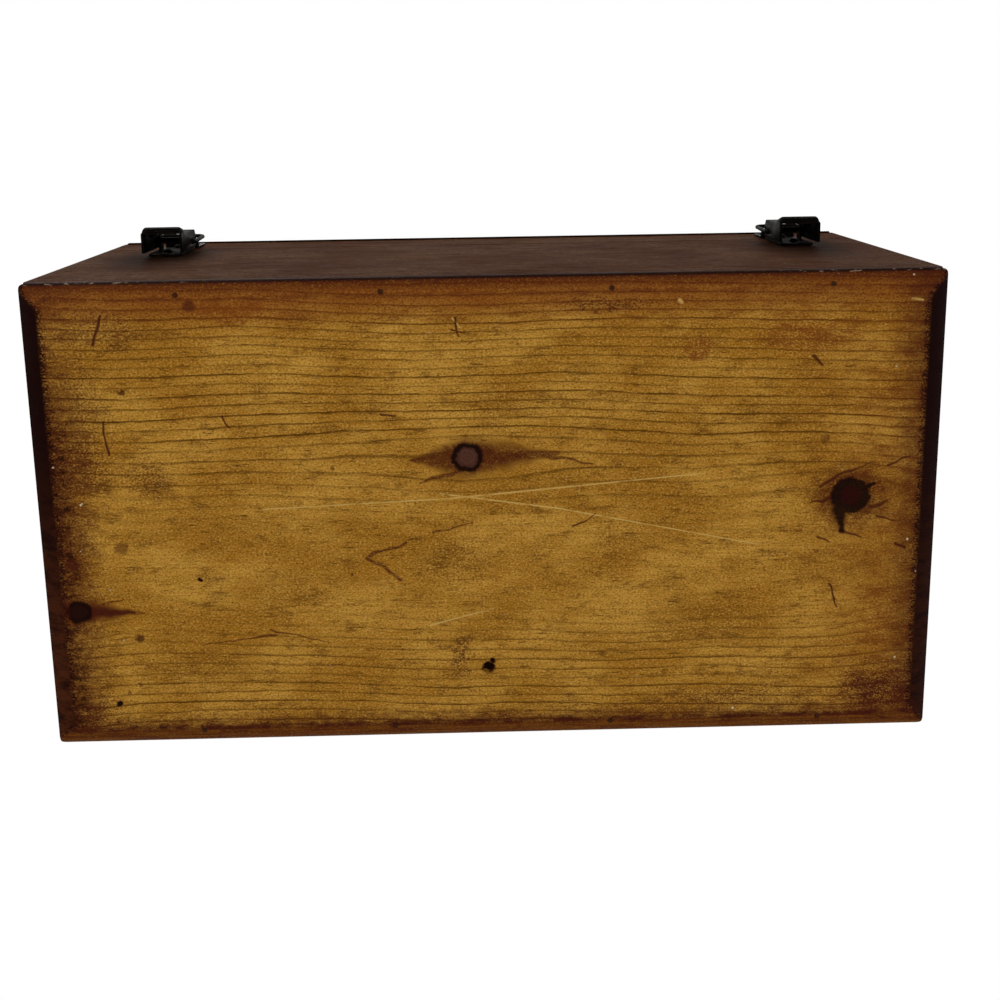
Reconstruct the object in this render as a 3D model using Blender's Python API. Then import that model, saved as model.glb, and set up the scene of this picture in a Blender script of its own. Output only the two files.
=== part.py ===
"""Lidded wooden tool box with a bevelled base, two draw latches, two hinges and a folding handle.

Metres, +Z up. The underside rests on z = 0 with the origin at its centre, and the front faces -Y.
"""

import math

import bmesh
import bpy
from mathutils import Matrix, Vector

# Box
BOX_LENGTH = 0.460
BOX_DEPTH = 0.242
BODY_HEIGHT = 0.197
LID_HEIGHT = 0.054
WALL = 0.013
BASE_THICKNESS = 0.013
LID_PANEL_THICKNESS = 0.013
END_BEVEL_WIDTH = 0.009
SIDE_BEVEL_WIDTH = 0.0075
BEVEL_HEIGHT = 0.005
SEAT_GAP = 0.0003

# Nails through the base
NAIL_RADIUS = 0.0012
NAIL_LENGTH = 0.030
NAIL_SETBACK = 0.0005
NAIL_SIDES = 8
NAIL_SHARES = (0.168, 0.387, 0.635, 0.874)  # of the length, from the left, spaced by eye

# Screws for the fittings
SCREW_SHANK_RADIUS = 0.0014
SCREW_LENGTH = 0.010
SCREW_HEAD_RADIUS = 0.0027
SCREW_HEAD_HEIGHT = 0.0018
HOLE_CLEARANCE = 0.0003

# Latches
LATCH_FROM_END = 0.045
SHEET = 0.0014
LATCH_BASE_WIDTH = 0.0188
LATCH_BASE_BOTTOM = 0.050
LATCH_BASE_TOP = 0.003
LATCH_SCREW_LOW = 0.041
LATCH_SCREW_HIGH = 0.0065
PIVOT_BELOW_SEAM = 0.0155
PIVOT_OUT = 0.0072
PIVOT_RADIUS = 0.0016
EAR_RADIUS = 0.0040
LEVER_WIDTH = 0.0236
LEVER_CHEEK_RADIUS = 0.0045
LEVER_CHEEK_DEGREES = 150
LEVER_TOP_RISE = 0.0060
LEVER_WEB_BELOW_PIVOT = 0.0030
LEVER_LENGTH = 0.0420
LEVER_TIP_RISE = 0.0100
LEVER_TIP_ROUND = 0.0040
LEVER_STRAIGHT = 0.017
LOOP_PIVOT_BELOW = 0.0100
LOOP_PIVOT_IN = 0.0006
LOOP_WIRE_RADIUS = 0.0012
LOOP_BEND_RADIUS = 0.0050
LOOP_END_BEND_RADIUS = 0.0018
LOOP_SIDE_GAP = 0.0003
HOOK_WIDTH = 0.0204
HOOK_FOOT_ABOVE_SEAM = 0.0060
HOOK_LIP_HEIGHT = 0.0070
HOOK_PLATE_HEIGHT = 0.0230
HOOK_SCREW_SPACING = 0.0120
HOOK_SCREW_ABOVE_LIP = 0.0050
HOOK_THROAT_PLAY = 0.0004
LOOP_FRONT_GAP = 0.0005

# Hinges
HINGE_FROM_END = 0.090
LEAF_WIDTH = 0.042
LEAF_HEIGHT = 0.026
LEAF_THICKNESS = 0.0015
KNUCKLE_RADIUS = 0.0032
KNUCKLE_GAP = 0.0003
HINGE_PIN_RADIUS = 0.0015
LEAF_SCREW_SPACING = 0.024
LEAF_SCREW_DISTANCE = 0.016

# Handle
HANDLE_SPAN = 0.112
HANDLE_REACH = 0.040
HANDLE_ROD_RADIUS = 0.0032
HANDLE_BEND_RADIUS = 0.012
HANDLE_END_BEND_RADIUS = 0.0035
HANDLE_PIVOT_HEIGHT = 0.0080
BRACKET_LENGTH = 0.034
BRACKET_WIDTH = 0.018
BRACKET_PLATE = 0.0020
BRACKET_LUG_LENGTH = 0.009
BRACKET_LUG_WALL = 0.0026
BRACKET_SCREW_FROM_END = 0.0055

# Fineness of the meshes, and how far a cutter runs past the surface
ROUND_STEPS = 12
BEND_STEPS = 4
SCREW_HEAD_STEPS = 3
WIRE_RESOLUTION = 2
SHARP_DEGREES = 35
WELD_DISTANCE = 0.00001
OVERCUT = 0.002

# Places worked out from the sizes above
FRONT_Y = -BOX_DEPTH / 2
BACK_Y = BOX_DEPTH / 2
SEAM_Z = BODY_HEIGHT
LID_TOP_Z = BODY_HEIGHT + LID_HEIGHT
END_X = BOX_LENGTH / 2
LATCH_X = END_X - LATCH_FROM_END
HINGE_X = END_X - HINGE_FROM_END
HINGE_AXIS_Y = BACK_Y + SEAT_GAP + KNUCKLE_RADIUS
HINGE_AXIS_Z = SEAM_Z + SEAT_GAP / 2
PIVOT_Y = FRONT_Y - PIVOT_OUT
PIVOT_Z = SEAM_Z - PIVOT_BELOW_SEAM
LOOP_PIVOT_Y = PIVOT_Y + LOOP_PIVOT_IN
LOOP_PIVOT_Z = PIVOT_Z - LOOP_PIVOT_BELOW
HANDLE_AXIS_Z = LID_TOP_Z + HANDLE_PIVOT_HEIGHT
HANDLE_PIVOT_X = HANDLE_SPAN / 2 + HANDLE_ROD_RADIUS + SEAT_GAP


def clear_scene():
    for obj in list(bpy.data.objects):
        bpy.data.objects.remove(obj)


def new_collection(name):
    collection = bpy.data.collections.new(name)
    bpy.context.scene.collection.children.link(collection)
    return collection


def make_material(name, colour, roughness, metallic=0.0):
    material = bpy.data.materials.new(name)
    material.use_nodes = True
    shader = material.node_tree.nodes["Principled BSDF"]
    shader.inputs["Base Color"].default_value = (*colour, 1.0)
    shader.inputs["Roughness"].default_value = roughness
    shader.inputs["Metallic"].default_value = metallic
    return material


def mesh_object(name, shape, collection, material=None, smooth=True):
    """Turns a bmesh into a named object; its coordinates stay as they are."""
    bmesh.ops.recalc_face_normals(shape, faces=shape.faces[:])
    mesh = bpy.data.meshes.new(name)
    shape.to_mesh(mesh)
    shape.free()
    if smooth:
        mesh.shade_smooth()
        mesh.set_sharp_from_angle(angle=math.radians(SHARP_DEGREES))
    if material:
        mesh.materials.append(material)
    obj = bpy.data.objects.new(name, mesh)
    collection.objects.link(obj)
    return obj


def block(low, high):
    """A box between two corners, as a bmesh."""
    shape = bmesh.new()
    bmesh.ops.create_cube(shape, size=1.0)
    low, high = Vector(low), Vector(high)
    bmesh.ops.scale(shape, vec=high - low, verts=shape.verts[:])
    bmesh.ops.translate(shape, vec=(low + high) / 2, verts=shape.verts[:])
    return shape


def rod(start, end, radius, steps=ROUND_STEPS):
    """A round bar between two points, as a bmesh."""
    shape = bmesh.new()
    start, end = Vector(start), Vector(end)
    length = (end - start).length
    bmesh.ops.create_cone(shape, cap_ends=True, segments=steps, radius1=radius, radius2=radius, depth=length)
    turn = Vector((0, 0, 1)).rotation_difference(end - start).to_matrix().to_4x4()
    bmesh.ops.transform(shape, matrix=Matrix.Translation((start + end) / 2) @ turn, verts=shape.verts[:])
    return shape


def plate_along_x(outline, x_low, x_high):
    """A flat outline in the YZ plane, filled and extruded along X, as a bmesh."""
    curve = bpy.data.curves.new("outline", "CURVE")
    curve.dimensions = "2D"
    curve.fill_mode = "BOTH"
    curve.extrude = (x_high - x_low) / 2
    spline = curve.splines.new("POLY")
    spline.points.add(len(outline) - 1)
    for point, (y, z) in zip(spline.points, outline):
        point.co = (y, z, 0, 1)
    spline.use_cyclic_u = True
    guide = bpy.data.objects.new("outline", curve)
    bpy.context.scene.collection.objects.link(guide)
    shape = shape_of_curve(guide)
    # the curve's own X and Y become the object's Y and Z, and its thickness lies along X
    axes = Matrix(((0, 0, 1, (x_low + x_high) / 2), (1, 0, 0, 0), (0, 1, 0, 0), (0, 0, 0, 1)))
    bmesh.ops.transform(shape, matrix=axes, verts=shape.verts[:])
    return shape


def shape_of_curve(guide):
    """The evaluated curve as a closed bmesh; the curve itself is removed."""
    bpy.context.view_layer.update()
    graph = bpy.context.evaluated_depsgraph_get()
    mesh = bpy.data.meshes.new_from_object(guide.evaluated_get(graph))
    shape = bmesh.new()
    shape.from_mesh(mesh)
    bmesh.ops.remove_doubles(shape, verts=shape.verts[:], dist=WELD_DISTANCE)
    bpy.data.meshes.remove(mesh)
    bpy.data.objects.remove(guide)
    return shape


def arc(centre, radius, start_degrees, end_degrees, steps=ROUND_STEPS):
    """Points on an arc in the YZ plane; angles count from +Y towards +Z."""
    points = []
    for step in range(steps + 1):
        angle = math.radians(start_degrees + (end_degrees - start_degrees) * step / steps)
        points.append((centre[0] + radius * math.cos(angle), centre[1] + radius * math.sin(angle)))
    return points


def rounded_route(corners, radius):
    """A route through corner points with each inner corner turned into an arc."""
    corners = [Vector(corner) for corner in corners]
    route = [corners[0]]
    for before, corner, after in zip(corners, corners[1:], corners[2:]):
        towards_before = (before - corner).normalized()
        towards_after = (after - corner).normalized()
        half = towards_before.angle(towards_after) / 2
        reach = radius / math.tan(half)
        centre = corner + (towards_before + towards_after).normalized() * radius / math.sin(half)
        first = corner + towards_before * reach - centre
        last = corner + towards_after * reach - centre
        for step in range(BEND_STEPS + 1):
            direction = first.slerp(last, step / BEND_STEPS).normalized()
            route.append(centre + direction * radius)
    route.append(corners[-1])
    return route


def wire(name, route, radius, collection, material):
    """A bent round wire along a route, with closed ends."""
    curve = bpy.data.curves.new(name, "CURVE")
    curve.dimensions = "3D"
    curve.bevel_depth = radius
    curve.bevel_resolution = WIRE_RESOLUTION
    curve.use_fill_caps = True
    spline = curve.splines.new("POLY")
    spline.points.add(len(route) - 1)
    for point, place in zip(spline.points, route):
        point.co = (*place, 1)
    guide = bpy.data.objects.new(name, curve)
    bpy.context.scene.collection.objects.link(guide)
    return mesh_object(name, shape_of_curve(guide), collection, material)


class Workshop:
    """Holds the two collections and the materials, and makes the pieces."""

    def __init__(self):
        self.parts = new_collection("tool_box")
        self.cutters = new_collection("cutters")
        self.pine = make_material("honey_pine", (0.29, 0.13, 0.03), 0.55)
        self.stained = make_material("dark_stained_pine", (0.07, 0.04, 0.025), 0.45)
        self.black_steel = make_material("black_enamelled_steel", (0.012, 0.011, 0.010), 0.3)
        self.bright_steel = make_material("bright_steel", (0.35, 0.34, 0.32), 0.4, 1.0)

    def piece(self, name, shape, material):
        return mesh_object(name, shape, self.parts, material)

    def combine(self, obj, shape, operation):
        """Joins a shape to an object, or cuts it out, with a Boolean modifier."""
        helper = mesh_object(f"{obj.name}_{operation.lower()}", shape, self.cutters, smooth=False)
        helper.hide_render = True
        helper.display_type = "WIRE"
        helper.parent = obj
        modifier = obj.modifiers.new(operation.title(), "BOOLEAN")
        modifier.operation = operation
        modifier.solver = "EXACT"
        modifier.object = helper

    def drill(self, obj, start, end, radius):
        self.combine(obj, rod(start, end, radius), "DIFFERENCE")

    def pivot(self, name, place):
        """An empty on a joint's axis, for the pieces that turn there."""
        empty = bpy.data.objects.new(name, None)
        empty.location = place
        self.parts.objects.link(empty)
        return empty

    def hang_on(self, obj, empty):
        """Parents an object to an empty and leaves it where it is."""
        obj.parent = empty
        obj.matrix_parent_inverse = Matrix.Translation(-empty.location)

    def carry_with(self, obj, carrier):
        """Hangs an object on the same empty as the piece that carries it, if there is one."""
        if carrier.parent:
            self.hang_on(obj, carrier.parent)

    def fasten(self, name, seat, inward, plate, wood):
        """A round-head screw with its head on the plate's face at seat, and the holes that it needs."""
        seat, inward = Vector(seat), Vector(inward)
        profile = bmesh.new()
        head_top = SEAT_GAP + SCREW_HEAD_HEIGHT
        outline = [(0.0, head_top)]
        for step in range(1, SCREW_HEAD_STEPS + 1):
            angle = math.pi / 2 * (1 - step / SCREW_HEAD_STEPS)
            height = SEAT_GAP + SCREW_HEAD_HEIGHT * math.sin(angle)
            outline.append((SCREW_HEAD_RADIUS * math.cos(angle), height))
        outline.append((SCREW_SHANK_RADIUS, SEAT_GAP))
        outline.append((SCREW_SHANK_RADIUS, -SCREW_LENGTH + 2 * SCREW_SHANK_RADIUS))
        outline.append((0.0, -SCREW_LENGTH))
        verts = [profile.verts.new((x, 0, z)) for x, z in outline]
        for first, second in zip(verts, verts[1:]):
            profile.edges.new((first, second))
        bmesh.ops.spin(
            profile, geom=profile.verts[:] + profile.edges[:], cent=(0, 0, 0), axis=(0, 0, 1),
            angle=math.tau, steps=ROUND_STEPS, use_merge=True,
        )
        bmesh.ops.remove_doubles(profile, verts=profile.verts[:], dist=WELD_DISTANCE)
        turn = Vector((0, 0, -1)).rotation_difference(inward).to_matrix().to_4x4()
        bmesh.ops.transform(profile, matrix=Matrix.Translation(seat) @ turn, verts=profile.verts[:])
        screw = self.piece(name, profile, self.black_steel)
        self.carry_with(screw, wood)
        hole_radius = SCREW_SHANK_RADIUS + HOLE_CLEARANCE
        hole_end = seat + inward * (SCREW_LENGTH + HOLE_CLEARANCE)
        for obj in (plate, wood):
            self.drill(obj, seat - inward * OVERCUT, hole_end, hole_radius)

    def bevelled_board(self, name, low, high, bevel_below, material):
        """A board whose four lower, or four upper, edges are bevelled."""
        shape = block(low, high)
        face_z = low[2] if bevel_below else high[2]
        shoulder_z = low[2] + BEVEL_HEIGHT if bevel_below else high[2] - BEVEL_HEIGHT
        bmesh.ops.bisect_plane(
            shape, geom=shape.verts[:] + shape.edges[:] + shape.faces[:], dist=WELD_DISTANCE,
            plane_co=(0, 0, shoulder_z), plane_no=(0, 0, 1),
        )
        for vert in shape.verts:
            if abs(vert.co.z - face_z) < WELD_DISTANCE:
                vert.co.x -= math.copysign(END_BEVEL_WIDTH, vert.co.x)
                vert.co.y -= math.copysign(SIDE_BEVEL_WIDTH, vert.co.y)
        return self.piece(name, shape, material)

    def four_walls(self, names, bottom, top):
        """Front, back, left and right boards; the ends fit between front and back."""
        inner_y = BOX_DEPTH / 2 - WALL
        inner_end = inner_y - SEAT_GAP
        inner_x = END_X - WALL
        boxes = (
            ((-END_X, FRONT_Y, bottom), (END_X, -inner_y, top)),
            ((-END_X, inner_y, bottom), (END_X, BACK_Y, top)),
            ((-END_X, -inner_end, bottom), (-inner_x, inner_end, top)),
            ((inner_x, -inner_end, bottom), (END_X, inner_end, top)),
        )
        return [self.piece(name, block(*box), self.stained) for name, box in zip(names, boxes)]

    def make_body(self):
        low = (-END_X, FRONT_Y, 0)
        high = (END_X, BACK_Y, BASE_THICKNESS)
        bottom = self.bevelled_board("bottom_board", low, high, True, self.pine)
        names = ("front_board", "back_board", "left_end_board", "right_end_board")
        walls = self.four_walls(names, BASE_THICKNESS + SEAT_GAP, SEAM_Z)
        self.nail_base(bottom, walls[0], walls[1])
        return walls[0], walls[1]

    def nail_base(self, bottom, front, back):
        """Nails driven up through the base into the middle of the front and back walls."""
        inset = WALL / 2
        surface = max(0.0, BEVEL_HEIGHT * (1 - inset / SIDE_BEVEL_WIDTH))
        start = surface + NAIL_SETBACK
        end = start + NAIL_LENGTH
        number = 0
        for wall, y in ((front, FRONT_Y + inset), (back, BACK_Y - inset)):
            for share in NAIL_SHARES:
                number += 1
                x = -END_X + share * BOX_LENGTH
                nail = rod((x, y, start), (x, y, end), NAIL_RADIUS, NAIL_SIDES)
                self.piece(f"base_nail_{number}", nail, self.bright_steel)
                hole_end = (x, y, end + SEAT_GAP)
                for board in (bottom, wall):
                    hole = rod((x, y, -OVERCUT), hole_end, NAIL_RADIUS + HOLE_CLEARANCE, NAIL_SIDES)
                    self.combine(board, hole, "DIFFERENCE")

    def make_lid(self):
        low = (-END_X, FRONT_Y, LID_TOP_Z - LID_PANEL_THICKNESS)
        panel = self.bevelled_board("lid_panel", low, (END_X, BACK_Y, LID_TOP_Z), False, self.stained)
        names = ("lid_front_rail", "lid_back_rail", "lid_left_rail", "lid_right_rail")
        rails = self.four_walls(names, SEAM_Z + SEAT_GAP, LID_TOP_Z - LID_PANEL_THICKNESS - SEAT_GAP)
        axis = self.pivot("lid_axis", (0, HINGE_AXIS_Y, HINGE_AXIS_Z))
        for board in (panel, *rails):
            self.hang_on(board, axis)
        return panel, rails[0], rails[1]

    def make_latch(self, side, x, front, rail):
        """One draw latch: base and pin on the body, lever, loop, and hook on the lid."""
        self.make_latch_base(side, x, front)
        lever_pivot = self.pivot(f"{side}_lever_axis", (x, PIVOT_Y, PIVOT_Z))
        loop_pivot = self.pivot(f"{side}_loop_axis", (x, LOOP_PIVOT_Y, LOOP_PIVOT_Z))
        self.hang_on(loop_pivot, lever_pivot)
        self.make_lever(side, x, lever_pivot)
        bar_y, bar_z = self.make_hook(side, x, rail)
        self.make_loop(side, x, bar_y, bar_z, loop_pivot)

    def make_latch_base(self, side, x, front):
        plate_back = FRONT_Y - SEAT_GAP
        plate_front = plate_back - SHEET
        half = LATCH_BASE_WIDTH / 2
        low = (x - half, plate_front, SEAM_Z - LATCH_BASE_BOTTOM)
        high = (x + half, plate_back, SEAM_Z - LATCH_BASE_TOP)
        base = self.piece(f"{side}_latch_base", block(low, high), self.black_steel)
        ear = [(plate_back - SHEET / 2, PIVOT_Z - EAR_RADIUS)]
        ear += arc((PIVOT_Y, PIVOT_Z), EAR_RADIUS, 270, 90)
        ear.append((plate_back - SHEET / 2, PIVOT_Z + EAR_RADIUS))
        for edge in (x - half, x + half - SHEET):
            self.combine(base, plate_along_x(ear, edge, edge + SHEET), "UNION")
        pin_reach = LEVER_WIDTH / 2
        pin_low = (x - pin_reach, PIVOT_Y, PIVOT_Z)
        pin_high = (x + pin_reach, PIVOT_Y, PIVOT_Z)
        self.piece(f"{side}_latch_pin", rod(pin_low, pin_high, PIVOT_RADIUS), self.black_steel)
        beyond = Vector((OVERCUT, 0, 0))
        self.drill(base, Vector(pin_low) - beyond, Vector(pin_high) + beyond, PIVOT_RADIUS + HOLE_CLEARANCE)
        inward = (0, 1, 0)
        for label, below in (("upper", LATCH_SCREW_HIGH), ("lower", LATCH_SCREW_LOW)):
            seat = (x, plate_front, SEAM_Z - below)
            self.fasten(f"{side}_latch_screw_{label}", seat, inward, base, front)

    def make_lever(self, side, x, pivot):
        """A channel with two cheeks that pivot on the ears; its free end stands away from the wall."""
        top_y = PIVOT_Y - LEVER_TOP_RISE
        tip_y = PIVOT_Y - LEVER_TIP_RISE
        wall_side_y = PIVOT_Y + LEVER_CHEEK_RADIUS
        tip_z = PIVOT_Z - LEVER_LENGTH
        bend_z = PIVOT_Z - LEVER_STRAIGHT
        outline = arc((PIVOT_Y, PIVOT_Z), LEVER_CHEEK_RADIUS, 0, LEVER_CHEEK_DEGREES)
        outline.append((top_y, PIVOT_Z))
        outline += self.lever_top(top_y, tip_y, bend_z, tip_z + LEVER_TIP_ROUND)
        round_centre = (tip_y + LEVER_TIP_ROUND, tip_z + LEVER_TIP_ROUND)
        outline += arc(round_centre, LEVER_TIP_ROUND, 180, 270, BEND_STEPS)[1:]
        outline.append((wall_side_y, tip_z))
        half = LEVER_WIDTH / 2
        solid = plate_along_x(outline, x - half, x + half)
        lever = self.piece(f"{side}_latch_lever", solid, self.black_steel)
        # the web stops below the pin, so that it clears the ears when the lever is flipped up
        web_z = PIVOT_Z - LEVER_WEB_BELOW_PIVOT
        hollow = [(wall_side_y + OVERCUT, PIVOT_Z + LEVER_CHEEK_RADIUS + OVERCUT)]
        hollow.append((top_y - OVERCUT, PIVOT_Z + LEVER_CHEEK_RADIUS + OVERCUT))
        hollow.append((top_y - OVERCUT, web_z))
        hollow.append((top_y + SHEET, web_z))
        hollow += self.lever_top(top_y + SHEET, tip_y + SHEET, bend_z, tip_z + LEVER_TIP_ROUND)
        hollow.append((tip_y + SHEET, tip_z - OVERCUT))
        hollow.append((wall_side_y + OVERCUT, tip_z - OVERCUT))
        self.combine(lever, plate_along_x(hollow, x - half + SHEET, x + half - SHEET), "DIFFERENCE")
        for y, z, radius in (
            (PIVOT_Y, PIVOT_Z, PIVOT_RADIUS),
            (LOOP_PIVOT_Y, LOOP_PIVOT_Z, LOOP_WIRE_RADIUS),
        ):
            start = (x - half - OVERCUT, y, z)
            self.drill(lever, start, (x + half + OVERCUT, y, z), radius + HOLE_CLEARANCE)
        self.hang_on(lever, pivot)

    def lever_top(self, top_y, tip_y, bend_z, end_z):
        """The channel's outer edge: straight, then easing outwards to the tip."""
        points = []
        for step in range(BEND_STEPS * 2 + 1):
            share = step / (BEND_STEPS * 2)
            ease = (1 - math.cos(math.pi * share)) / 2
            points.append((top_y + (tip_y - top_y) * ease, bend_z + (end_z - bend_z) * share))
        return points

    def make_hook(self, side, x, rail):
        """A plate on the lid with an upturned lip; returns where the loop's bar lies in front of the lip."""
        back = FRONT_Y - SEAT_GAP
        face = back - SHEET
        throat = 2 * LOOP_WIRE_RADIUS + HOOK_THROAT_PLAY
        lip_in = face - throat
        lip_out = lip_in - SHEET
        foot = SEAM_Z + HOOK_FOOT_ABOVE_SEAM
        lip_top = foot + HOOK_LIP_HEIGHT
        plate_top = foot + HOOK_PLATE_HEIGHT
        outline = [(back, foot), (back, plate_top), (face, plate_top)]
        outline += [(face, foot + SHEET), (lip_in, foot + SHEET), (lip_in, lip_top)]
        outline += [(lip_out, lip_top), (lip_out, foot + SHEET), (lip_in, foot)]
        half = HOOK_WIDTH / 2
        hook = self.piece(f"{side}_latch_hook", plate_along_x(outline, x - half, x + half), self.black_steel)
        self.carry_with(hook, rail)
        screw_z = lip_top + HOOK_SCREW_ABOVE_LIP
        for number, shift in ((1, -HOOK_SCREW_SPACING / 2), (2, HOOK_SCREW_SPACING / 2)):
            self.fasten(f"{side}_hook_screw_{number}", (x + shift, face, screw_z), (0, 1, 0), hook, rail)
        bar_y = lip_out - LOOP_FRONT_GAP - LOOP_WIRE_RADIUS
        bar_z = foot + SHEET + LOOP_WIRE_RADIUS + HOOK_THROAT_PLAY
        return bar_y, bar_z

    def make_loop(self, side, x, bar_y, bar_z, pivot):
        """The wire loop: its bent-in ends turn in the lever's cheeks and its bar lies over the hook."""
        leg = LEVER_WIDTH / 2 + LOOP_SIDE_GAP + LOOP_WIRE_RADIUS
        end = LEVER_WIDTH / 2 - SHEET
        corners = [(end, LOOP_PIVOT_Y, LOOP_PIVOT_Z), (leg, LOOP_PIVOT_Y, LOOP_PIVOT_Z), (leg, bar_y, bar_z)]
        half_route = rounded_route(corners, LOOP_END_BEND_RADIUS)[:-1]
        corners = [(leg, LOOP_PIVOT_Y, LOOP_PIVOT_Z), (leg, bar_y, bar_z), (0, bar_y, bar_z)]
        half_route += rounded_route(corners, LOOP_BEND_RADIUS)[1:-1]
        route = [Vector((x + p[0], p[1], p[2])) for p in half_route]
        route += [Vector((x - p[0], p[1], p[2])) for p in reversed(half_route)]
        loop = wire(f"{side}_latch_loop", route, LOOP_WIRE_RADIUS, self.parts, self.black_steel)
        self.hang_on(loop, pivot)

    def make_hinge(self, side, x, back, rail):
        """One butt hinge on the back: two knuckles on the body's leaf and one on the lid's."""
        third = LEAF_WIDTH / 3
        edge = LEAF_WIDTH / 2
        body_spans = ((x - edge, x - edge + third), (x + edge - third, x + edge))
        lid_spans = ((x - third / 2 + KNUCKLE_GAP, x + third / 2 - KNUCKLE_GAP),)
        self.make_leaf(f"{side}_hinge_body_leaf", x, -1, body_spans, back)
        self.make_leaf(f"{side}_hinge_lid_leaf", x, 1, lid_spans, rail)
        pin_low = (x - edge, HINGE_AXIS_Y, HINGE_AXIS_Z)
        pin_high = (x + edge, HINGE_AXIS_Y, HINGE_AXIS_Z)
        self.piece(f"{side}_hinge_pin", rod(pin_low, pin_high, HINGE_PIN_RADIUS), self.black_steel)

    def make_leaf(self, name, x, up, spans, wood):
        inner_y = BACK_Y + SEAT_GAP
        outer_y = inner_y + LEAF_THICKNESS
        near_z = HINGE_AXIS_Z + up * (KNUCKLE_RADIUS + 2 * KNUCKLE_GAP)
        far_z = HINGE_AXIS_Z + up * LEAF_HEIGHT
        edge = LEAF_WIDTH / 2
        low = (x - edge, inner_y, min(near_z, far_z))
        leaf = self.piece(name, block(low, (x + edge, outer_y, max(near_z, far_z))), self.black_steel)
        self.carry_with(leaf, wood)
        tongue_z = near_z + up * LEAF_THICKNESS
        for start, end in spans:
            tongue_low = (start, inner_y, min(HINGE_AXIS_Z, tongue_z))
            tongue_high = (end, outer_y, max(HINGE_AXIS_Z, tongue_z))
            self.combine(leaf, block(tongue_low, tongue_high), "UNION")
            knuckle_low = (start, HINGE_AXIS_Y, HINGE_AXIS_Z)
            knuckle_high = (end, HINGE_AXIS_Y, HINGE_AXIS_Z)
            self.combine(leaf, rod(knuckle_low, knuckle_high, KNUCKLE_RADIUS), "UNION")
        bore_low = (x - edge - OVERCUT, HINGE_AXIS_Y, HINGE_AXIS_Z)
        bore_high = (x + edge + OVERCUT, HINGE_AXIS_Y, HINGE_AXIS_Z)
        self.drill(leaf, bore_low, bore_high, HINGE_PIN_RADIUS + HOLE_CLEARANCE)
        screw_z = HINGE_AXIS_Z + up * LEAF_SCREW_DISTANCE
        label = name.replace("_leaf", "_screw")
        for number, shift in ((1, -LEAF_SCREW_SPACING / 2), (2, LEAF_SCREW_SPACING / 2)):
            self.fasten(f"{label}_{number}", (x + shift, outer_y, screw_z), (0, -1, 0), leaf, wood)

    def make_handle(self, panel):
        """A bail that lies on the lid and folds over on two lugged brackets."""
        for side, direction in (("left", -1), ("right", 1)):
            self.make_bracket(side, direction, panel)
        outer = HANDLE_PIVOT_X + BRACKET_LUG_LENGTH + SEAT_GAP
        arm = HANDLE_SPAN / 2
        bar_y = -HANDLE_REACH
        bar_z = LID_TOP_Z + SEAT_GAP + HANDLE_ROD_RADIUS
        corners = [(outer, 0, HANDLE_AXIS_Z), (arm, 0, HANDLE_AXIS_Z), (arm, bar_y, bar_z)]
        half_route = rounded_route(corners, HANDLE_END_BEND_RADIUS)[:-1]
        corners = [(arm, 0, HANDLE_AXIS_Z), (arm, bar_y, bar_z), (0, bar_y, bar_z)]
        half_route += rounded_route(corners, HANDLE_BEND_RADIUS)[1:-1]
        route = half_route + [Vector((-p[0], p[1], p[2])) for p in reversed(half_route)]
        bail = wire("handle_bail", route, HANDLE_ROD_RADIUS, self.parts, self.black_steel)
        axis = self.pivot("handle_axis", (0, 0, HANDLE_AXIS_Z))
        self.carry_with(axis, panel)
        self.hang_on(bail, axis)

    def make_bracket(self, side, direction, panel):
        plate_z = LID_TOP_Z + SEAT_GAP
        plate_top = plate_z + BRACKET_PLATE
        inner = direction * (HANDLE_PIVOT_X + HANDLE_ROD_RADIUS)
        lug_end = inner + direction * (BRACKET_LUG_LENGTH - HANDLE_ROD_RADIUS)
        outer = inner + direction * BRACKET_WIDTH
        half = BRACKET_LENGTH / 2
        low = (min(inner, outer), -half, plate_z)
        name = f"handle_{side}_bracket"
        bracket = self.piece(name, block(low, (max(inner, outer), half, plate_top)), self.black_steel)
        self.carry_with(bracket, panel)
        lug_radius = HANDLE_ROD_RADIUS + HOLE_CLEARANCE + BRACKET_LUG_WALL
        outline = [(lug_radius, plate_z + BRACKET_PLATE / 2)]
        outline += arc((0, HANDLE_AXIS_Z), lug_radius, 0, 180)
        outline.append((-lug_radius, plate_z + BRACKET_PLATE / 2))
        self.combine(bracket, plate_along_x(outline, min(inner, lug_end), max(inner, lug_end)), "UNION")
        bore_ends = (inner - direction * OVERCUT, outer + direction * OVERCUT)
        self.drill(
            bracket, (min(bore_ends), 0, HANDLE_AXIS_Z), (max(bore_ends), 0, HANDLE_AXIS_Z),
            HANDLE_ROD_RADIUS + HOLE_CLEARANCE,
        )
        screw_x = (inner + outer) / 2
        for number, y in ((1, -half + BRACKET_SCREW_FROM_END), (2, half - BRACKET_SCREW_FROM_END)):
            self.fasten(f"handle_{side}_screw_{number}", (screw_x, y, plate_top), (0, 0, -1), bracket, panel)


def main():
    clear_scene()
    shop = Workshop()
    front, back = shop.make_body()
    panel, front_rail, back_rail = shop.make_lid()
    for side, direction in (("left", -1), ("right", 1)):
        shop.make_latch(side, direction * LATCH_X, front, front_rail)
        shop.make_hinge(side, direction * HINGE_X, back, back_rail)
    shop.make_handle(panel)


main()
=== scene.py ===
import math

import bmesh
import bpy
from mathutils import Matrix, Vector, noise


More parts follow.
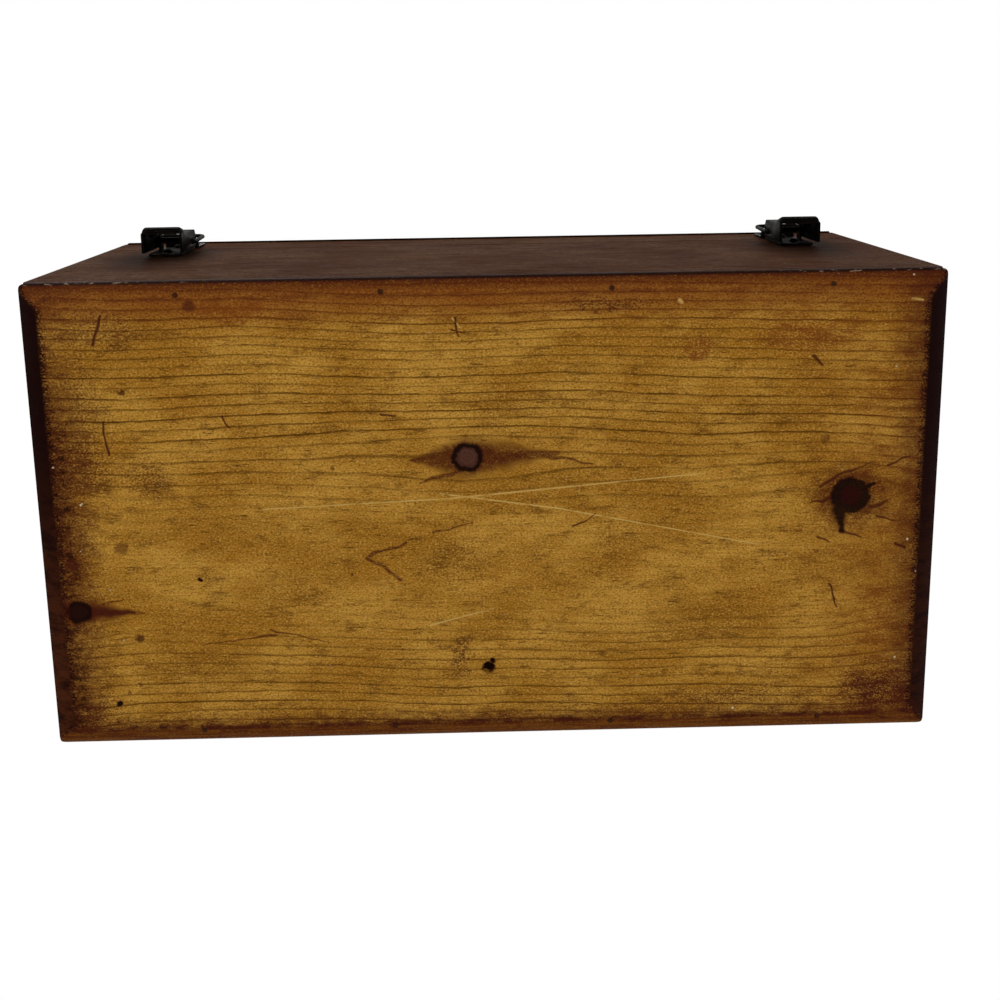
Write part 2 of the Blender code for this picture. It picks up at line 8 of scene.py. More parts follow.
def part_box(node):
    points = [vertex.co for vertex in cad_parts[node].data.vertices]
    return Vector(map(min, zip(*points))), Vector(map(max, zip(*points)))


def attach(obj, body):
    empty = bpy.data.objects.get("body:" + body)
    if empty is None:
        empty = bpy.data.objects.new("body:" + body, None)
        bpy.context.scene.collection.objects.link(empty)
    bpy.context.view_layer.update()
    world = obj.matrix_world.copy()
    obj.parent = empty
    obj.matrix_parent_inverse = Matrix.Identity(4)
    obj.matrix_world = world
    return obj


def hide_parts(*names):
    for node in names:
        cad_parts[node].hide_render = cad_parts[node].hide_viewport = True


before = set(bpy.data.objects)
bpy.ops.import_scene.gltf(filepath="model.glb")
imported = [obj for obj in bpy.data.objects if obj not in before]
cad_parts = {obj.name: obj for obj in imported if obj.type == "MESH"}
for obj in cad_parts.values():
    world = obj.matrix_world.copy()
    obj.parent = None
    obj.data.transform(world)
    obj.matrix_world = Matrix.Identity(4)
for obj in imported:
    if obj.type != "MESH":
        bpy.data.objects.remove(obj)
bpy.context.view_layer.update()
mm = 0.001
weld, cutGap = 0.005 * mm, 0.001 * mm       # points nearer than these are merged, or lie on a cut
print("frame loaded,", len(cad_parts), "nodes")

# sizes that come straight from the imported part
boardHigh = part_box("bottom_board")[1]
halfLength, halfDepth, baseThickness = boardHigh
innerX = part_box("right_end_board")[0].x
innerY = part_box("back_board")[0].y
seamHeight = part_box("front_board")[1].z
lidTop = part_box("lid_panel")[1].z


def hexColour(code):
    channels = [int(code[i:i + 2], 16) / 255 for i in (1, 3, 5)]
    linear = [c / 12.92 if c <= 0.04045 else ((c + 0.055) / 1.055) ** 2.4 for c in channels]
    return (*linear, 1.0)


# adds a node, sets or links its inputs in order or by name, and gives back one output
def add(tree, kind, inputs=(), out=0, **settings):
    made = tree.nodes.new("ShaderNode" + kind)
    for name, value in settings.items():
        setattr(made, name, value)
    for key, value in inputs.items() if isinstance(inputs, dict) else enumerate(inputs):
        if isinstance(value, bpy.types.NodeSocket):
            tree.links.new(value, made.inputs[key])
        else:
            made.inputs[key].default_value = value
    return made.outputs[out]


def startMaterial(name):
    material = bpy.data.materials.new(name)
    material.use_nodes = True
    tree = material.node_tree
    place = add(tree, "TexCoord", out="Object")
    place = add(tree, "VectorMath", {0: place, "Scale": 1 / mm}, operation="SCALE")
    return material, tree, tree.nodes["Principled BSDF"], place


# uneven streaks that are this many millimetres long in x, y and z
def streaks(tree, place, size, detail=2.0, roughness=0.5):
    shrunk = add(tree, "VectorMath", (place, [1 / side for side in size]), operation="MULTIPLY")
    return add(tree, "TexNoise", {"Vector": shrunk, "Scale": 1.0, "Detail": detail, "Roughness": roughness})


# how far a point of the board is from the middle of an oval, 1 on its rim
def ovalReach(tree, place, middle, wide, tall):
    away = add(tree, "VectorMath", (place, (*middle, 0)), operation="SUBTRACT")
    scaled = add(tree, "VectorMath", (away, (1 / wide, 1 / tall, 0)), operation="MULTIPLY")
    return add(tree, "VectorMath", (scaled,), out="Value", operation="LENGTH")


# lays a colour over another where the mask shows
def paint(tree, under, code, mask, strength=1.0):
    share = add(tree, "Math", (mask, strength), operation="MULTIPLY", use_clamp=True)
    return add(tree, "Mix", {0: share, 6: under, 7: hexColour(code)}, out=2, data_type="RGBA")


# lays colours one over another, each where its pattern runs from one value to the next
def paintLayers(tree, under, colours, layers):
    for tint, pattern, start, full, strength in layers:
        mask = add(tree, "MapRange", (pattern, start, full), **soft)
        under = paint(tree, under, colours[tint], mask, strength)
    return under


soft = {"interpolation_type": "SMOOTHSTEP"}     # masks ease from 0 to 1 between two values
times, plus, minus = {"operation": "MULTIPLY"}, {"operation": "ADD"}, {"operation": "SUBTRACT"}
larger, smaller = {"operation": "MAXIMUM"}, {"operation": "MINIMUM"}
timesPlus = {"operation": "MULTIPLY_ADD"}

# camera, solved from the four corners of the underside
cameraSettings = {
    "lens": 53.93,              # mm
    "sensor": 36,
    "pitch": 14.252,            # degrees
    "yaw": -1.137,
    "roll": -0.892,
    "offset": (-0.01130, 0.01423, 1.67300),     # right, down and away, in box lengths
    "cornerHeight": 5 * mm,     # those corners lie at the top of the bevel
}


def makeCamera(s):
    turn = Matrix.Rotation(math.radians(s["roll"]), 3, "Z")
    turn = turn @ Matrix.Rotation(math.radians(s["pitch"]), 3, "X")
    turn = turn @ Matrix.Rotation(math.radians(s["yaw"]), 3, "Y")
    place = turn.transposed() @ Vector(s["offset"]) * -2 * halfLength + Vector((0, 0, s["cornerHeight"]))
    facing = (Matrix.Diagonal((1, -1, -1)) @ turn).transposed()
    data = bpy.data.cameras.new("photoCamera")
    data.lens = s["lens"]
    data.sensor_width = s["sensor"]
    camera = bpy.data.objects.new("photoCamera", data)
    camera.matrix_world = Matrix.Translation(place) @ facing.to_4x4()
    bpy.context.scene.collection.objects.link(camera)
    bpy.context.scene.camera = camera


makeCamera(cameraSettings)
bpy.context.scene.view_settings.view_transform = "Standard"

# an even white surround with soft lamps below, for the photo's face, and above
lightSettings = {
    "surround": 0.50,
    "lamps": {
        "underLeft": {"place": (-0.8, -0.9, -1.3), "power": 9, "size": 0.9},
        "underRight": {"place": (1.0, 0.3, -1.3), "power": 4, "size": 1.0},
        "overFront": {"place": (-0.9, -1.4, 1.5), "power": 13, "size": 1.1},
        "overRight": {"place": (1.6, -0.3, 1.3), "power": 8, "size": 1.1},
        "overBack": {"place": (-0.4, 1.7, 1.4), "power": 10, "size": 1.1},
    },
}


def makeLight(s):
    world = bpy.data.worlds.new("studio")
    bpy.context.scene.world = world
    world.use_nodes = True
    tree = world.node_tree
    background = tree.nodes["Background"]
    background.inputs["Color"].default_value = (1, 1, 1, 1)
    rays = [add(tree, "LightPath", out=f"Is {kind} Ray") for kind in ("Camera", "Glossy", "Transmission")]
    white = add(tree, "Math", (add(tree, "Math", rays[:2], **larger), rays[2]), **larger)
    strength = add(tree, "MapRange", (white, 0.0, 1.0, s["surround"], 1.0))
    tree.links.new(strength, background.inputs["Strength"])
    target = Vector((0, 0, seamHeight / 2))
    for name, lamp in s["lamps"].items():
        data = bpy.data.lights.new(name, "AREA")
        data.energy = lamp["power"]
        data.size = lamp["size"]
        light = bpy.data.objects.new(name, data)
        light.location = lamp["place"]
        light.rotation_euler = (target - light.location).to_track_quat("-Z", "Y").to_euler()
        bpy.context.scene.collection.objects.link(light)


makeLight(lightSettings)

# pale floor under the box, fading into the white surround
# it shows only from above, so the underside can be seen
floorSettings = {
    "size": 6.0, "below": 0.4 * mm, "colour": "#ECEAE6", "roughness": 0.9, "fadeFrom": 0.6, "fadeTo": 2.4,
}


def makeFloor(s):
    shape = bmesh.new()
    bmesh.ops.create_grid(shape, x_segments=1, y_segments=1, size=s["size"] / 2)
    bmesh.ops.translate(shape, vec=(0, 0, -s["below"]), verts=shape.verts[:])
    mesh = bpy.data.meshes.new("studioFloor")
    shape.to_mesh(mesh)
    shape.free()
    material, tree, shader, place = startMaterial("palePaper")
    shader.inputs["Base Color"].default_value = hexColour(s["colour"])
    shader.inputs["Roughness"].default_value = s["roughness"]
    behind = add(tree, "NewGeometry", out="Backfacing")
    away = add(tree, "VectorMath", (place,), out="Value", operation="LENGTH")
    faded = add(tree, "MapRange", (away, s["fadeFrom"] / mm, s["fadeTo"] / mm), **soft)
    unseen = add(tree, "Math", (behind, faded), **larger)
    surface = add(tree, "MixShader", (unseen, shader.outputs[0], add(tree, "BsdfTransparent")))
    tree.links.new(surface, tree.nodes["Material Output"].inputs["Surface"])
    mesh.materials.append(material)
    floor = bpy.data.objects.new("studioFloor", mesh)
    bpy.context.scene.collection.objects.link(floor)
    floor.visible_shadow = False
    floor.visible_diffuse = False
    floor.visible_glossy = False


makeFloor(floorSettings)
print("camera, light and floor")

# marks on the underside: places in millimetres from its middle, x to the right, y towards the hinges
pineMarks = {
    "ragged": (5, 4, 0), "torn": (26, 14, 0), "bent": (5, 5, 0),        # how far rims and strokes wander
    "pithAcross": 34, "pithLean": 0.02, "pithDepth": 22, "ringWidth": 4.8, "slowSway": 14.0, "fineSway": 2.6,
    "linesFront": (8.0, -40.0), "linesBack": (48.0, 80.0),      # grain lines grow from one y to the other
    "grimeAlong": (-100.0, -30.0), "glowAlong": (-60.0, 90.0), "glowAcross": (60.0, -60.0),
    "knotOval": 1.06, "knotBlur": 0.8, "heartBlur": (0.7, 0.9), "heartRings": 4.2, "pushStretch": 3,
    "knots": [      # place, half size of the resin halo, dark ring, core, how the grain is pushed, black feet
        {"place": (-11.0, -30.5), "halo": (17, 10), "ring": 7.6, "core": 4.9, "heart": "#573529", "push": 13},
        {"place": (184.7, -6.5), "halo": (24, 20), "ring": 9.6, "core": 5.0, "heart": "#2A0907", "push": 14,
         "feet": [((179, -2), (180.5, 12), 6.0, 2.4), ((190, -10), (197, -13), 2.6, 0.8)]},
        {"place": (-212.5, 47.1), "halo": (17, 9), "ring": 6.2, "core": 4.0, "heart": "#220D08", "push": 9},
    ],
    "flames": [     # from, to, half width at either end
        ((-11, -30.5), (36, -31.5), 15.0, 1.2), ((-11, -30.5), (-40, -29.5), 15.0, 0.6),
        ((20, -32), (53, -25.4), 2.0, 0.5), ((-16, -24), (-36, -17), 2.6, 0.4),
        ((-209, 47.3), (-178, 49.6), 7.5, 0.5), ((-206, 45.0), (-188, 42.0), 2.2, 0.3),
        ((-43.7, 14.0), (-63.9, 21.5), 0.9, 1.6), ((-63.9, 21.5), (-45.9, 34.2), 1.6, 1.1),
        ((-222, 47), (-205, 47), 8.0, 6.0), ((-30, 9), (-8, 4), 0.8, 0.5),
        ((-115, 60), (-84, 67), 0.8, 0.4), ((-150, 66), (-112, 62), 0.5, 0.7),
    ],
    "cracks": [
        ((176, -6), (164, -2.0), 1.6, 0.4), ((169, -11.5), (177, -17.6), 1.2, 1.4),
        ((177, -17.6), (196, -24.0), 1.0, 0.3), ((195, -1), (204, -3), 1.6, 0.4),
        ((180, 12), (191, 16), 1.6, 0.5), ((203, -22), (214, -27), 0.8, 0.4),
        ((199, 4), (211, 7), 1.0, 0.3), ((168, 14), (174, 18), 1.0, 0.6),
        ((-209, 47.4), (-184, 49.2), 5.0, 0.5),
    ],
    "paleScratches": [
        ((-115.4, -5.5), (-20.2, -9.2), 0.45, 0.55), ((-20.2, -9.2), (106.7, -19.6), 0.70, 0.50),
        ((-25.2, -11.9), (35.6, -2.8), 0.60, 0.60), ((35.6, -2.8), (138.3, 18.5), 0.60, 0.40),
        ((-32.1, 58.4), (1.7, 49.9), 0.60, 0.50), ((-17, -101), (-13, -96), 0.6, 0.4),
        ((95.6, -107.8), (96.6, -106.8), 1.5, 1.2), ((211.5, -106.6), (216.5, -105.9), 1.1, 0.8),
    ],
    "darkScratches": [
        ((-190.0, -104.6), (-195.0, -91.4), 0.9, 1.3), ((163.1, -78.3), (167.3, -73.2), 1.5, 1.1),
        ((-54.1, -53.7), (-46.7, -52.0), 0.7, 0.7), ((-15.2, -100.5), (-13.3, -91.5), 1.1, 0.7),
        ((-17.5, -96), (-10, -94), 0.7, 0.4), ((176.3, 40.3), (179.9, 52.9), 0.8, 0.5),
        ((208.5, 19.5), (214.8, 21.8), 1.2, 0.8),
        ((-192, -52), (-191, -36), 0.9, 0.6), ((-133, -54), (-130, -47), 0.7, 0.5),
        ((42, 7), (54, 0), 0.7, 0.4),
    ],
    "spots": [      # place, radius, depth of tone
        ((-2.0, 82.8), 3.4, 1.0), ((0.2, 79.0), 1.7, 1.0), ((-182.3, -66.8), 1.7, 0.8),
        ((-149.1, 31.4), 1.5, 1.0), ((-182.5, 62.5), 2.6, 0.8), ((-188.4, 13.5), 3.8, 0.6),
        ((-79.2, -26.0), 1.3, 0.6), ((-196.0, 98.1), 2.1, 1.0), ((178.2, 48.5), 1.2, 0.6),
        ((170.7, -36.4), 2.8, 0.5), ((-184, 88), 1.5, 0.6), ((-190, 92), 1.2, 0.6), ((-214, 22), 3.6, 0.7),
        ((74, -66), 1.4, 0.4), ((58, 76), 2.2, 0.5), ((-146, -109), 3.4, 0.7), ((-72, 30), 1.0, 0.8),
    ],
    "frontReds": [  # colour, where it starts and is full, from the front edge, strength
        ("redEdge", 24, 8, 0.66), ("redDeep", 8, 3, 0.66), ("wound", 3.0, 1.0, 0.75),
    ],
    "stains": [     # place, half size, depth of tone, colour
        ((104.1, -83.4), 12, 7, 0.80, "glaze"), ((66, 16), 14, 12, 0.55, "mottle"),
        ((-20, 24), 26, 15, 0.70, "mottle"), ((4, -52), 10, 18, 0.45, "mottle"),
        ((-208, -30), 26, 20, 0.80, "grime"), ((-120, -106), 36, 6, 0.75, "glaze"),
        ((160, -90), 32, 13, 0.75, "glaze"), ((-214, 8), 15, 28, 0.55, "grime"),
        ((205, 60), 18, 22, 0.45, "glaze"), ((202, 98), 34, 20, 0.90, "grime"),
        ((-210, 104), 22, 16, 0.70, "grime"), ((20, -58), 60, 8, 0.35, "mottle"),
        ((-150, 80), 40, 14, 0.50, "mottle"), ((110, 60), 40, 16, 0.45, "mottle"),
        ((-190, -98), 28, 12, 0.55, "wound"), ((150, -50), 26, 10, 0.45, "mottle"),
        ((60, -107), 34, 4, 0.75, "wound"), ((130, 101), 50, 6, 0.65, "wound"),
        ((-16, 76), 6, 16, 0.80, "wound"), ((-200, -60), 14, 30, 0.45, "wound"),
        ((176, 30), 30, 12, 0.35, "mottle"), ((-60, -60), 30, 8, 0.35, "mottle"),
        ((150, 88), 20, 10, 0.50, "mottle"), ((-100, 40), 26, 9, 0.40, "mottle"),
        ((208, 103), 26, 13, 0.85, "wound"), ((-172, -22), 15, 13, 0.60, "wound"),
    ],
}

# where the tones along the edges start and are full, in millimetres from that edge or up from the floor
pineEdges = {
    "glazeFront": (34.0, 7.0), "glazeRight": (90.0, 10.0), "redFront": (26.0, 10.0), "redSway": 6.0,
    "grimeLeft": (45.0, 8.0), "grimeRight": (40.0, 8.0), "grimeBack": (24.0, 6.0), "woundRight": (30.0, 9.0),
    "backBevel": (8.8, 6.6), "grooveIn": (10.6, 8.6), "grooveOut": (6.4, 7.6), "grooveBack": (60.0, 12.0),
    "cornerCurve": (1.5, 15.0), "endBevel": 9.2, "rut": (5.0, 1.0), "endGrain": (1.3, -1.0),
    "rimLow": (5.1, 5.5), "rimHigh": (12.9, 12.6), "arris": (1.5, 0.6), "arrisTop": (7.0, 6.0),
    "paleArrisReach": (120.0, 40.0),
}

pineColours = {
    "honey": "#BC8B37", "amber": "#9A681D", "latewood": "#4A2A02", "grit": "#5A3600", "glint": "#DCAF60",
    "mottle": "#68400D", "glaze": "#743A10", "flame": "#4C1F0C", "grime": "#4C200E", "soot": "#120504",
    "wound": "#3F150D",
    "scratch": "#CBA65C", "fleck": "#D8C6A6", "redEdge": "#7C4216", "redDeep": "#4E200C", "backEdge": "#6C3E12",
    "endGrain": "#160504", "endGlow": "#44200F", "chipAndHighlight": "#A08468", "stain": "#2E1C13",
}


# a stroke that narrows from one end to the other, 1 along its middle
def strokeMask(tree, place, fray, start, end, first, last):
    run = Vector((end[0] - start[0], end[1] - start[1], 0))
    away = add(tree, "VectorMath", (place, (*start, 0)), operation="SUBTRACT")
    flat = add(tree, "VectorMath", (away, (1, 1, 0)), **times)
    part = add(tree, "VectorMath", (flat, run / run.length_squared), out="Value", operation="DOT_PRODUCT")
    part = add(tree, "Math", (part, 0.0), use_clamp=True, **plus)
    nearest = add(tree, "VectorMath", {0: run, "Scale": part}, operation="SCALE")
    gap = add(tree, "VectorMath", (flat, nearest), out="Value", operation="DISTANCE")
    width = add(tree, "Math", (part, last - first, first), **timesPlus)
    reach = add(tree, "Math", (add(tree, "Math", (gap, width), operation="DIVIDE"), fray), **plus)
    return add(tree, "MapRange", (reach, 1.0, 0.4), **soft)


# the strongest of many strokes
def strokesMask(tree, place, fray, strokes):
    mask = 0.0
    for stroke in strokes:
        mask = add(tree, "Math", (strokeMask(tree, place, fray, *stroke), mask), **larger)
    return mask


# bare pine gone honey brown: thin dark latewood lines that bend round the knots, a mottled flat middle,
# resin-red flames, pale scratches, and grime worked in along the edges
def makeUndersidePine(m, e, c):
    material, tree, shader, place = startMaterial("agedBarePine")
    x, y, z = (add(tree, "SeparateXYZ", (place,), out=axis) for axis in "XYZ")
    shifts = {"Vector": place, "Scale": 0.22, "Detail": 4.0, "Roughness": 0.65}
    shifts = add(tree, "TexNoise", shifts, out="Color")
    centred = add(tree, "VectorMath", (shifts, (0.5, 0.5, 0.5)), **minus)
    ragged = add(tree, "VectorMath", (centred, m["ragged"], place), **timesPlus)
    torn = add(tree, "VectorMath", (centred, m["torn"], place), **timesPlus)
    bends = add(tree, "TexNoise", {"Vector": place, "Scale": 0.09, "Detail": 1.0}, out="Color")
    bends = add(tree, "VectorMath", (bends, (0.5, 0.5, 0.5)), **minus)
    bent = add(tree, "VectorMath", (bends, m["bent"], place), **timesPlus)

    # the grain line is y, swayed slowly and finely, then pushed aside by each knot
    line = add(tree, "Math", (streaks(tree, place, (190, 80, 40), 1.0), m["slowSway"], y), **timesPlus)
    line = add(tree, "Math", (streaks(tree, place, (22, 6, 20), 3.0, 0.6), m["fineSway"], line), **timesPlus)
    for knot in m["knots"]:
        reach = ovalReach(tree, place, knot["place"], knot["push"] * m["pushStretch"], knot["push"])
        spread = add(tree, "Math", (reach, reach, 1.0), **timesPlus)
        across = add(tree, "Math", (y, knot["place"][1]), **minus)
        line = add(tree, "Math", (line, add(tree, "Math", (across, spread), operation="DIVIDE")), **minus)

    # sawn beside the pith, so the rings lie close at the sides and open out in the middle
    pith = add(tree, "Math", (x, m["pithLean"], m["pithAcross"]), **timesPlus)
    fromPith = add(tree, "Math", (line, pith), **minus)
    depth = add(tree, "Math", (streaks(tree, place, (150, 600, 40), 1.0), 2 * m["pithDepth"]), **times)
    square = add(tree, "Math", (fromPith, fromPith, add(tree, "Math", (depth, depth), **times)), **timesPlus)
    ring = add(tree, "Math", (square,), operation="SQRT")
    ring = add(tree, "Math", (ring, m["ringWidth"]), operation="DIVIDE")
    share = add(tree, "Math", (ring,), operation="FRACT")
    tone = add(tree, "Math", (ring,), operation="FLOOR")
    tone = add(tree, "TexWhiteNoise", {"W": tone}, noise_dimensions="1D")
    broad = add(tree, "MapRange", (share, 0.45, 0.92, 0.0, 0.25), **soft)
    thin = add(tree, "MapRange", (share, 0.74, 0.88, 0.0, 0.75), **soft)
    latewood = add(tree, "Math", (broad, thin), **plus)
    latewood = add(tree, "Math", (latewood, add(tree, "MapRange", (share, 1.0, 0.95), **soft)), **times)
    latewood = add(tree, "Math", (latewood, add(tree, "Math", (tone, 0.5, 0.5), **timesPlus)), **times)
    broken = streaks(tree, place, (40, 3, 20), 4.0, 0.65)
    broken = add(tree, "MapRange", (broken, 0.32, 0.54, 0.35, 1.0), **soft)
    latewood = add(tree, "Math", (latewood, broken), **times)
    sides = add(tree, "Math", (add(tree, "MapRange", (y, *m["linesFront"], 0.22, 1.0), **soft),
                               add(tree, "MapRange", (y, *m["linesBack"], 0.22, 0.9), **soft)), **larger)
    latewood = add(tree, "Math", (latewood, sides), **times)

    # grit in the pores, fibres and cloudy discolouring; the pores are drawn coarser than real ones, to show
    fibre = streaks(tree, place, (38, 1.1, 8), 4.0, 0.65)
    grit = streaks(tree, place, (1.1, 0.8, 1.1), 2.0, 0.6)
    cloud = streaks(tree, place, (60, 34, 40), 4.0, 0.6)
    smudge = streaks(tree, place, (17, 7, 17), 6.0, 0.75)
    colour = paintLayers(tree, hexColour(c["honey"]), c, [
        ("amber", cloud, 0.36, 0.62, 1.0), ("amber", fibre, 0.42, 0.66, 0.6),
        ("mottle", smudge, 0.50, 0.68, 0.75), ("grit", grit, 0.50, 0.72, 0.75),
        ("glint", grit, 0.48, 0.30, 0.45),
    ])
    colour = paint(tree, colour, c["latewood"], latewood, 0.97)
    dashes = add(tree, "MapRange", (streaks(tree, place, (11, 0.9, 9), 3.0, 0.6), 0.58, 0.67), **soft)
    dashes = add(tree, "Math", (dashes, add(tree, "MapRange", (smudge, 0.42, 0.54), **soft)), **times)
    colour = paint(tree, colour, c["latewood"], dashes, 0.80)

    # distances to the four edges, and a red glaze that creeps in from the front and right
    fromLeft = add(tree, "Math", (x, halfLength / mm), **plus)
    fromRight = add(tree, "Math", (halfLength / mm, x), **minus)
    fromFront = add(tree, "Math", (y, halfDepth / mm), **plus)
    fromBack = add(tree, "Math", (halfDepth / mm, y), **minus)
    glaze = add(tree, "MapRange", (fromFront, *e["glazeFront"]), **soft)
    glazeRight = add(tree, "MapRange", (fromRight, *e["glazeRight"], 0.0, 0.9), **soft)
    glaze = add(tree, "Math", (glaze, glazeRight), **larger)
    glaze = add(tree, "Math", (glaze, add(tree, "MapRange", (smudge, 0.34, 0.62, 0.2, 1.0), **soft)), **times)
    colour = paint(tree, colour, c["glaze"], glaze, 0.60)
    for tint, start, full, strength in m["frontReds"]:
        reddened = add(tree, "Math", (smudge, e["redSway"], fromFront), **timesPlus)
        reddened = add(tree, "MapRange", (reddened, start + e["redSway"] / 2, full + e["redSway"] / 2), **soft)
        colour = paint(tree, colour, c[tint], reddened, strength)
    nearFront = add(tree, "MapRange", (fromFront, *e["redFront"]), **soft)
    colour = paint(tree, colour, c["redDeep"], add(tree, "Math", (latewood, nearFront), **times), 0.75)
    gritty = add(tree, "Math", (add(tree, "MapRange", (grit, 0.50, 0.68), **soft), nearFront), **times)
    colour = paint(tree, colour, c["redDeep"], gritty, 0.55)
    rubbed = add(tree, "Math", (add(tree, "MapRange", (grit, 0.46, 0.30), **soft), nearFront), **times)
    colour = paint(tree, colour, c["amber"], rubbed, 0.40)

    # broad dark stains with torn rims, gritty all through
    patchy = add(tree, "MapRange", (add(tree, "Math", (smudge, grit), **plus), 0.80, 1.15, 0.10, 1.0), **soft)
    for middle, wide, tall, strength, tint in m["stains"]:
        reach = ovalReach(tree, torn, middle, wide, tall)
        worn = add(tree, "Math", (add(tree, "MapRange", (reach, 1.1, 0.3), **soft), patchy), **times)
        colour = paint(tree, colour, c[tint], worn, strength)

    # grime from the edges inwards: strongest on the left half and in the back corners
    left = add(tree, "MapRange", (fromLeft, *e["grimeLeft"]), **soft)
    left = add(tree, "Math", (left, add(tree, "MapRange", (y, *m["grimeAlong"], 0.65, 1.0), **soft)), **times)
    right = add(tree, "MapRange", (fromRight, *e["grimeRight"], 0.0, 0.55), **soft)
    back = add(tree, "MapRange", (fromBack, *e["grimeBack"], 0.0, 0.85), **soft)
    edge = add(tree, "Math", (add(tree, "Math", (left, right), **larger), back), **larger)
    speck = add(tree, "Math", (edge, 0.46, streaks(tree, place, (9, 5, 9), 7.0, 0.80)), **timesPlus)
    speck = add(tree, "Math", (grit, 0.26, add(tree, "Math", (speck, 0.13), **minus)), **timesPlus)
    grime = add(tree, "MapRange", (speck, 0.52, 1.00), **soft)
    colour = paint(tree, colour, c["grime"], grime, 0.88)
    colour = paintLayers(tree, colour, c, [
        ("soot", speck, 0.86, 1.04, 0.80), ("wound", fromRight, *e["woundRight"], 0.45),
    ])

    # a resin halo, flames along the grain, then the knot's dark ring and its heart
    for knot in m["knots"]:
        reach = ovalReach(tree, torn, knot["place"], *knot["halo"])
        halo = add(tree, "MapRange", (reach, 1.15, 0.45), **soft)
        halo = add(tree, "Math", (halo, add(tree, "Math", (patchy, 0.5, 0.5), **timesPlus)), **times)
        colour = paint(tree, colour, c["flame"], halo, 0.90)
    fray = add(tree, "Math", (add(tree, "Math", (smudge, grit), **plus), 1.3, -1.25), **timesPlus)
    flames = add(tree, "Math", (patchy, 0.45, 0.55), **timesPlus)
    flames = add(tree, "Math", (strokesMask(tree, bent, fray, m["flames"]), flames), **times)
    colour = paint(tree, colour, c["flame"], flames, 0.95)
    cracks = strokesMask(tree, bent, fray, m["cracks"])
    colour = paint(tree, colour, c["wound"], cracks, 0.85)
    for knot in m["knots"]:
        reach = ovalReach(tree, ragged, knot["place"], m["knotOval"], 1.0)
        whole = (reach, knot["ring"] + m["knotBlur"], knot["ring"] - m["knotBlur"])
        whole = add(tree, "MapRange", whole, **soft)
        for foot in knot.get("feet", ()):
            whole = add(tree, "Math", (strokeMask(tree, ragged, fray, *foot), whole), **larger)
        colour = paint(tree, colour, c["soot"], whole, 0.95)
        heart = (reach, knot["core"] + m["heartBlur"][0], knot["core"] - m["heartBlur"][1])
        heart = add(tree, "MapRange", heart, **soft)
        rings = add(tree, "Math", (reach, m["heartRings"]), **times)
        rings = add(tree, "Math", (rings,), operation="SINE")
        heart = add(tree, "Math", (heart, add(tree, "Math", (rings, 0.14, 0.74), **timesPlus)), **times)
        colour = paint(tree, colour, knot["heart"], heart)

    # scratches break up along their length
    breaks = add(tree, "MapRange", (streaks(tree, place, (9, 9, 9), 3.0), 0.34, 0.54, 0.35, 1.0), **soft)
    pale = add(tree, "Math", (strokesMask(tree, place, 0.0, m["paleScratches"]), breaks), **times)
    dark = strokesMask(tree, bent, fray, m["darkScratches"])
    spots = 0.0
    for middle, radius, strength in m["spots"]:
        reach = ovalReach(tree, ragged, middle, 1.1 * radius, radius)
        spot = add(tree, "MapRange", (reach, 1.1, 0.6, 0.0, strength), **soft)
        spots = add(tree, "Math", (spot, spots), **larger)
    colour = paint(tree, colour, c["scratch"], pale, 0.75)
    colour = paint(tree, colour, c["wound"], dark, 0.90)
    colour = paint(tree, colour, c["wound"], spots, 0.95)
    colour = paint(tree, colour, c["soot"], add(tree, "MapRange", (spots, 0.7, 1.0), **soft), 0.95)

    # a few pale flecks, most of them where it is grimy
    flake = add(tree, "TexVoronoi", {"Vector": place, "Scale": 0.11})
    lot = add(tree, "TexVoronoi", {"Vector": place, "Scale": 0.11}, out="Color")
    chosen = add(tree, "Math", (lot, 0.62), operation="GREATER_THAN")
    flecks = add(tree, "Math", (add(tree, "MapRange", (flake, 0.085, 0.05), **soft), chosen), **times)
    flecks = add(tree, "Math", (flecks, add(tree, "MapRange", (edge, 0.0, 0.6, 0.15, 1.0))), **times)
    colour = paint(tree, colour, c["fleck"], flecks, 0.85)

    # bevels: red brown along the back, nearly black end grain that curves off at the corners
    nearEnd = add(tree, "Math", (fromLeft, fromRight), **smaller)
    nearSide = add(tree, "Math", (fromFront, fromBack), **smaller)
    band = add(tree, "MapRange", (fromBack, *e["backBevel"]), **soft)
    worn = streaks(tree, place, (34, 1.6, 9), 5.0, 0.7)
    bandTone = paintLayers(tree, hexColour(c["backEdge"]), c, [
        ("redDeep", worn, 0.40, 0.62, 0.85), ("wound", smudge, 0.52, 0.66, 0.75),
        ("redDeep", grit, 0.50, 0.70, 0.60), ("amber", grit, 0.46, 0.28, 0.45),
    ])
    colour = add(tree, "Mix", {0: band, 6: colour, 7: bandTone}, out=2, data_type="RGBA")
    groove = add(tree, "Math", (add(tree, "MapRange", (nearSide, *e["grooveIn"]), **soft),
                                add(tree, "MapRange", (nearSide, *e["grooveOut"]), **soft)), **times)
    grooveParts = add(tree, "MapRange", (smudge, 0.40, 0.56, 0.15, 1.0), **soft)
    groove = add(tree, "Math", (groove, grooveParts), **times)
    grooveFade = add(tree, "MapRange", (fromBack, *e["grooveBack"], 0.35, 0.90))
    groove = add(tree, "Math", (groove, grooveFade), **times)
    colour = paint(tree, colour, c["wound"], groove)
    limit = add(tree, "MapRange", (nearSide, *e["cornerCurve"], 0.0, e["endBevel"]), **soft)
    past = add(tree, "Math", (nearEnd, limit), **minus)
    rut = add(tree, "Math", (add(tree, "MapRange", (past, *e["rut"]), **soft), patchy), **times)
    colour = paint(tree, colour, c["wound"], rut, 0.85)
    colour = paint(tree, colour, c["soot"], add(tree, "MapRange", (rut, 0.45, 0.85), **soft), 0.75)
    ends = add(tree, "MapRange", (past, *e["endGrain"]), **soft)
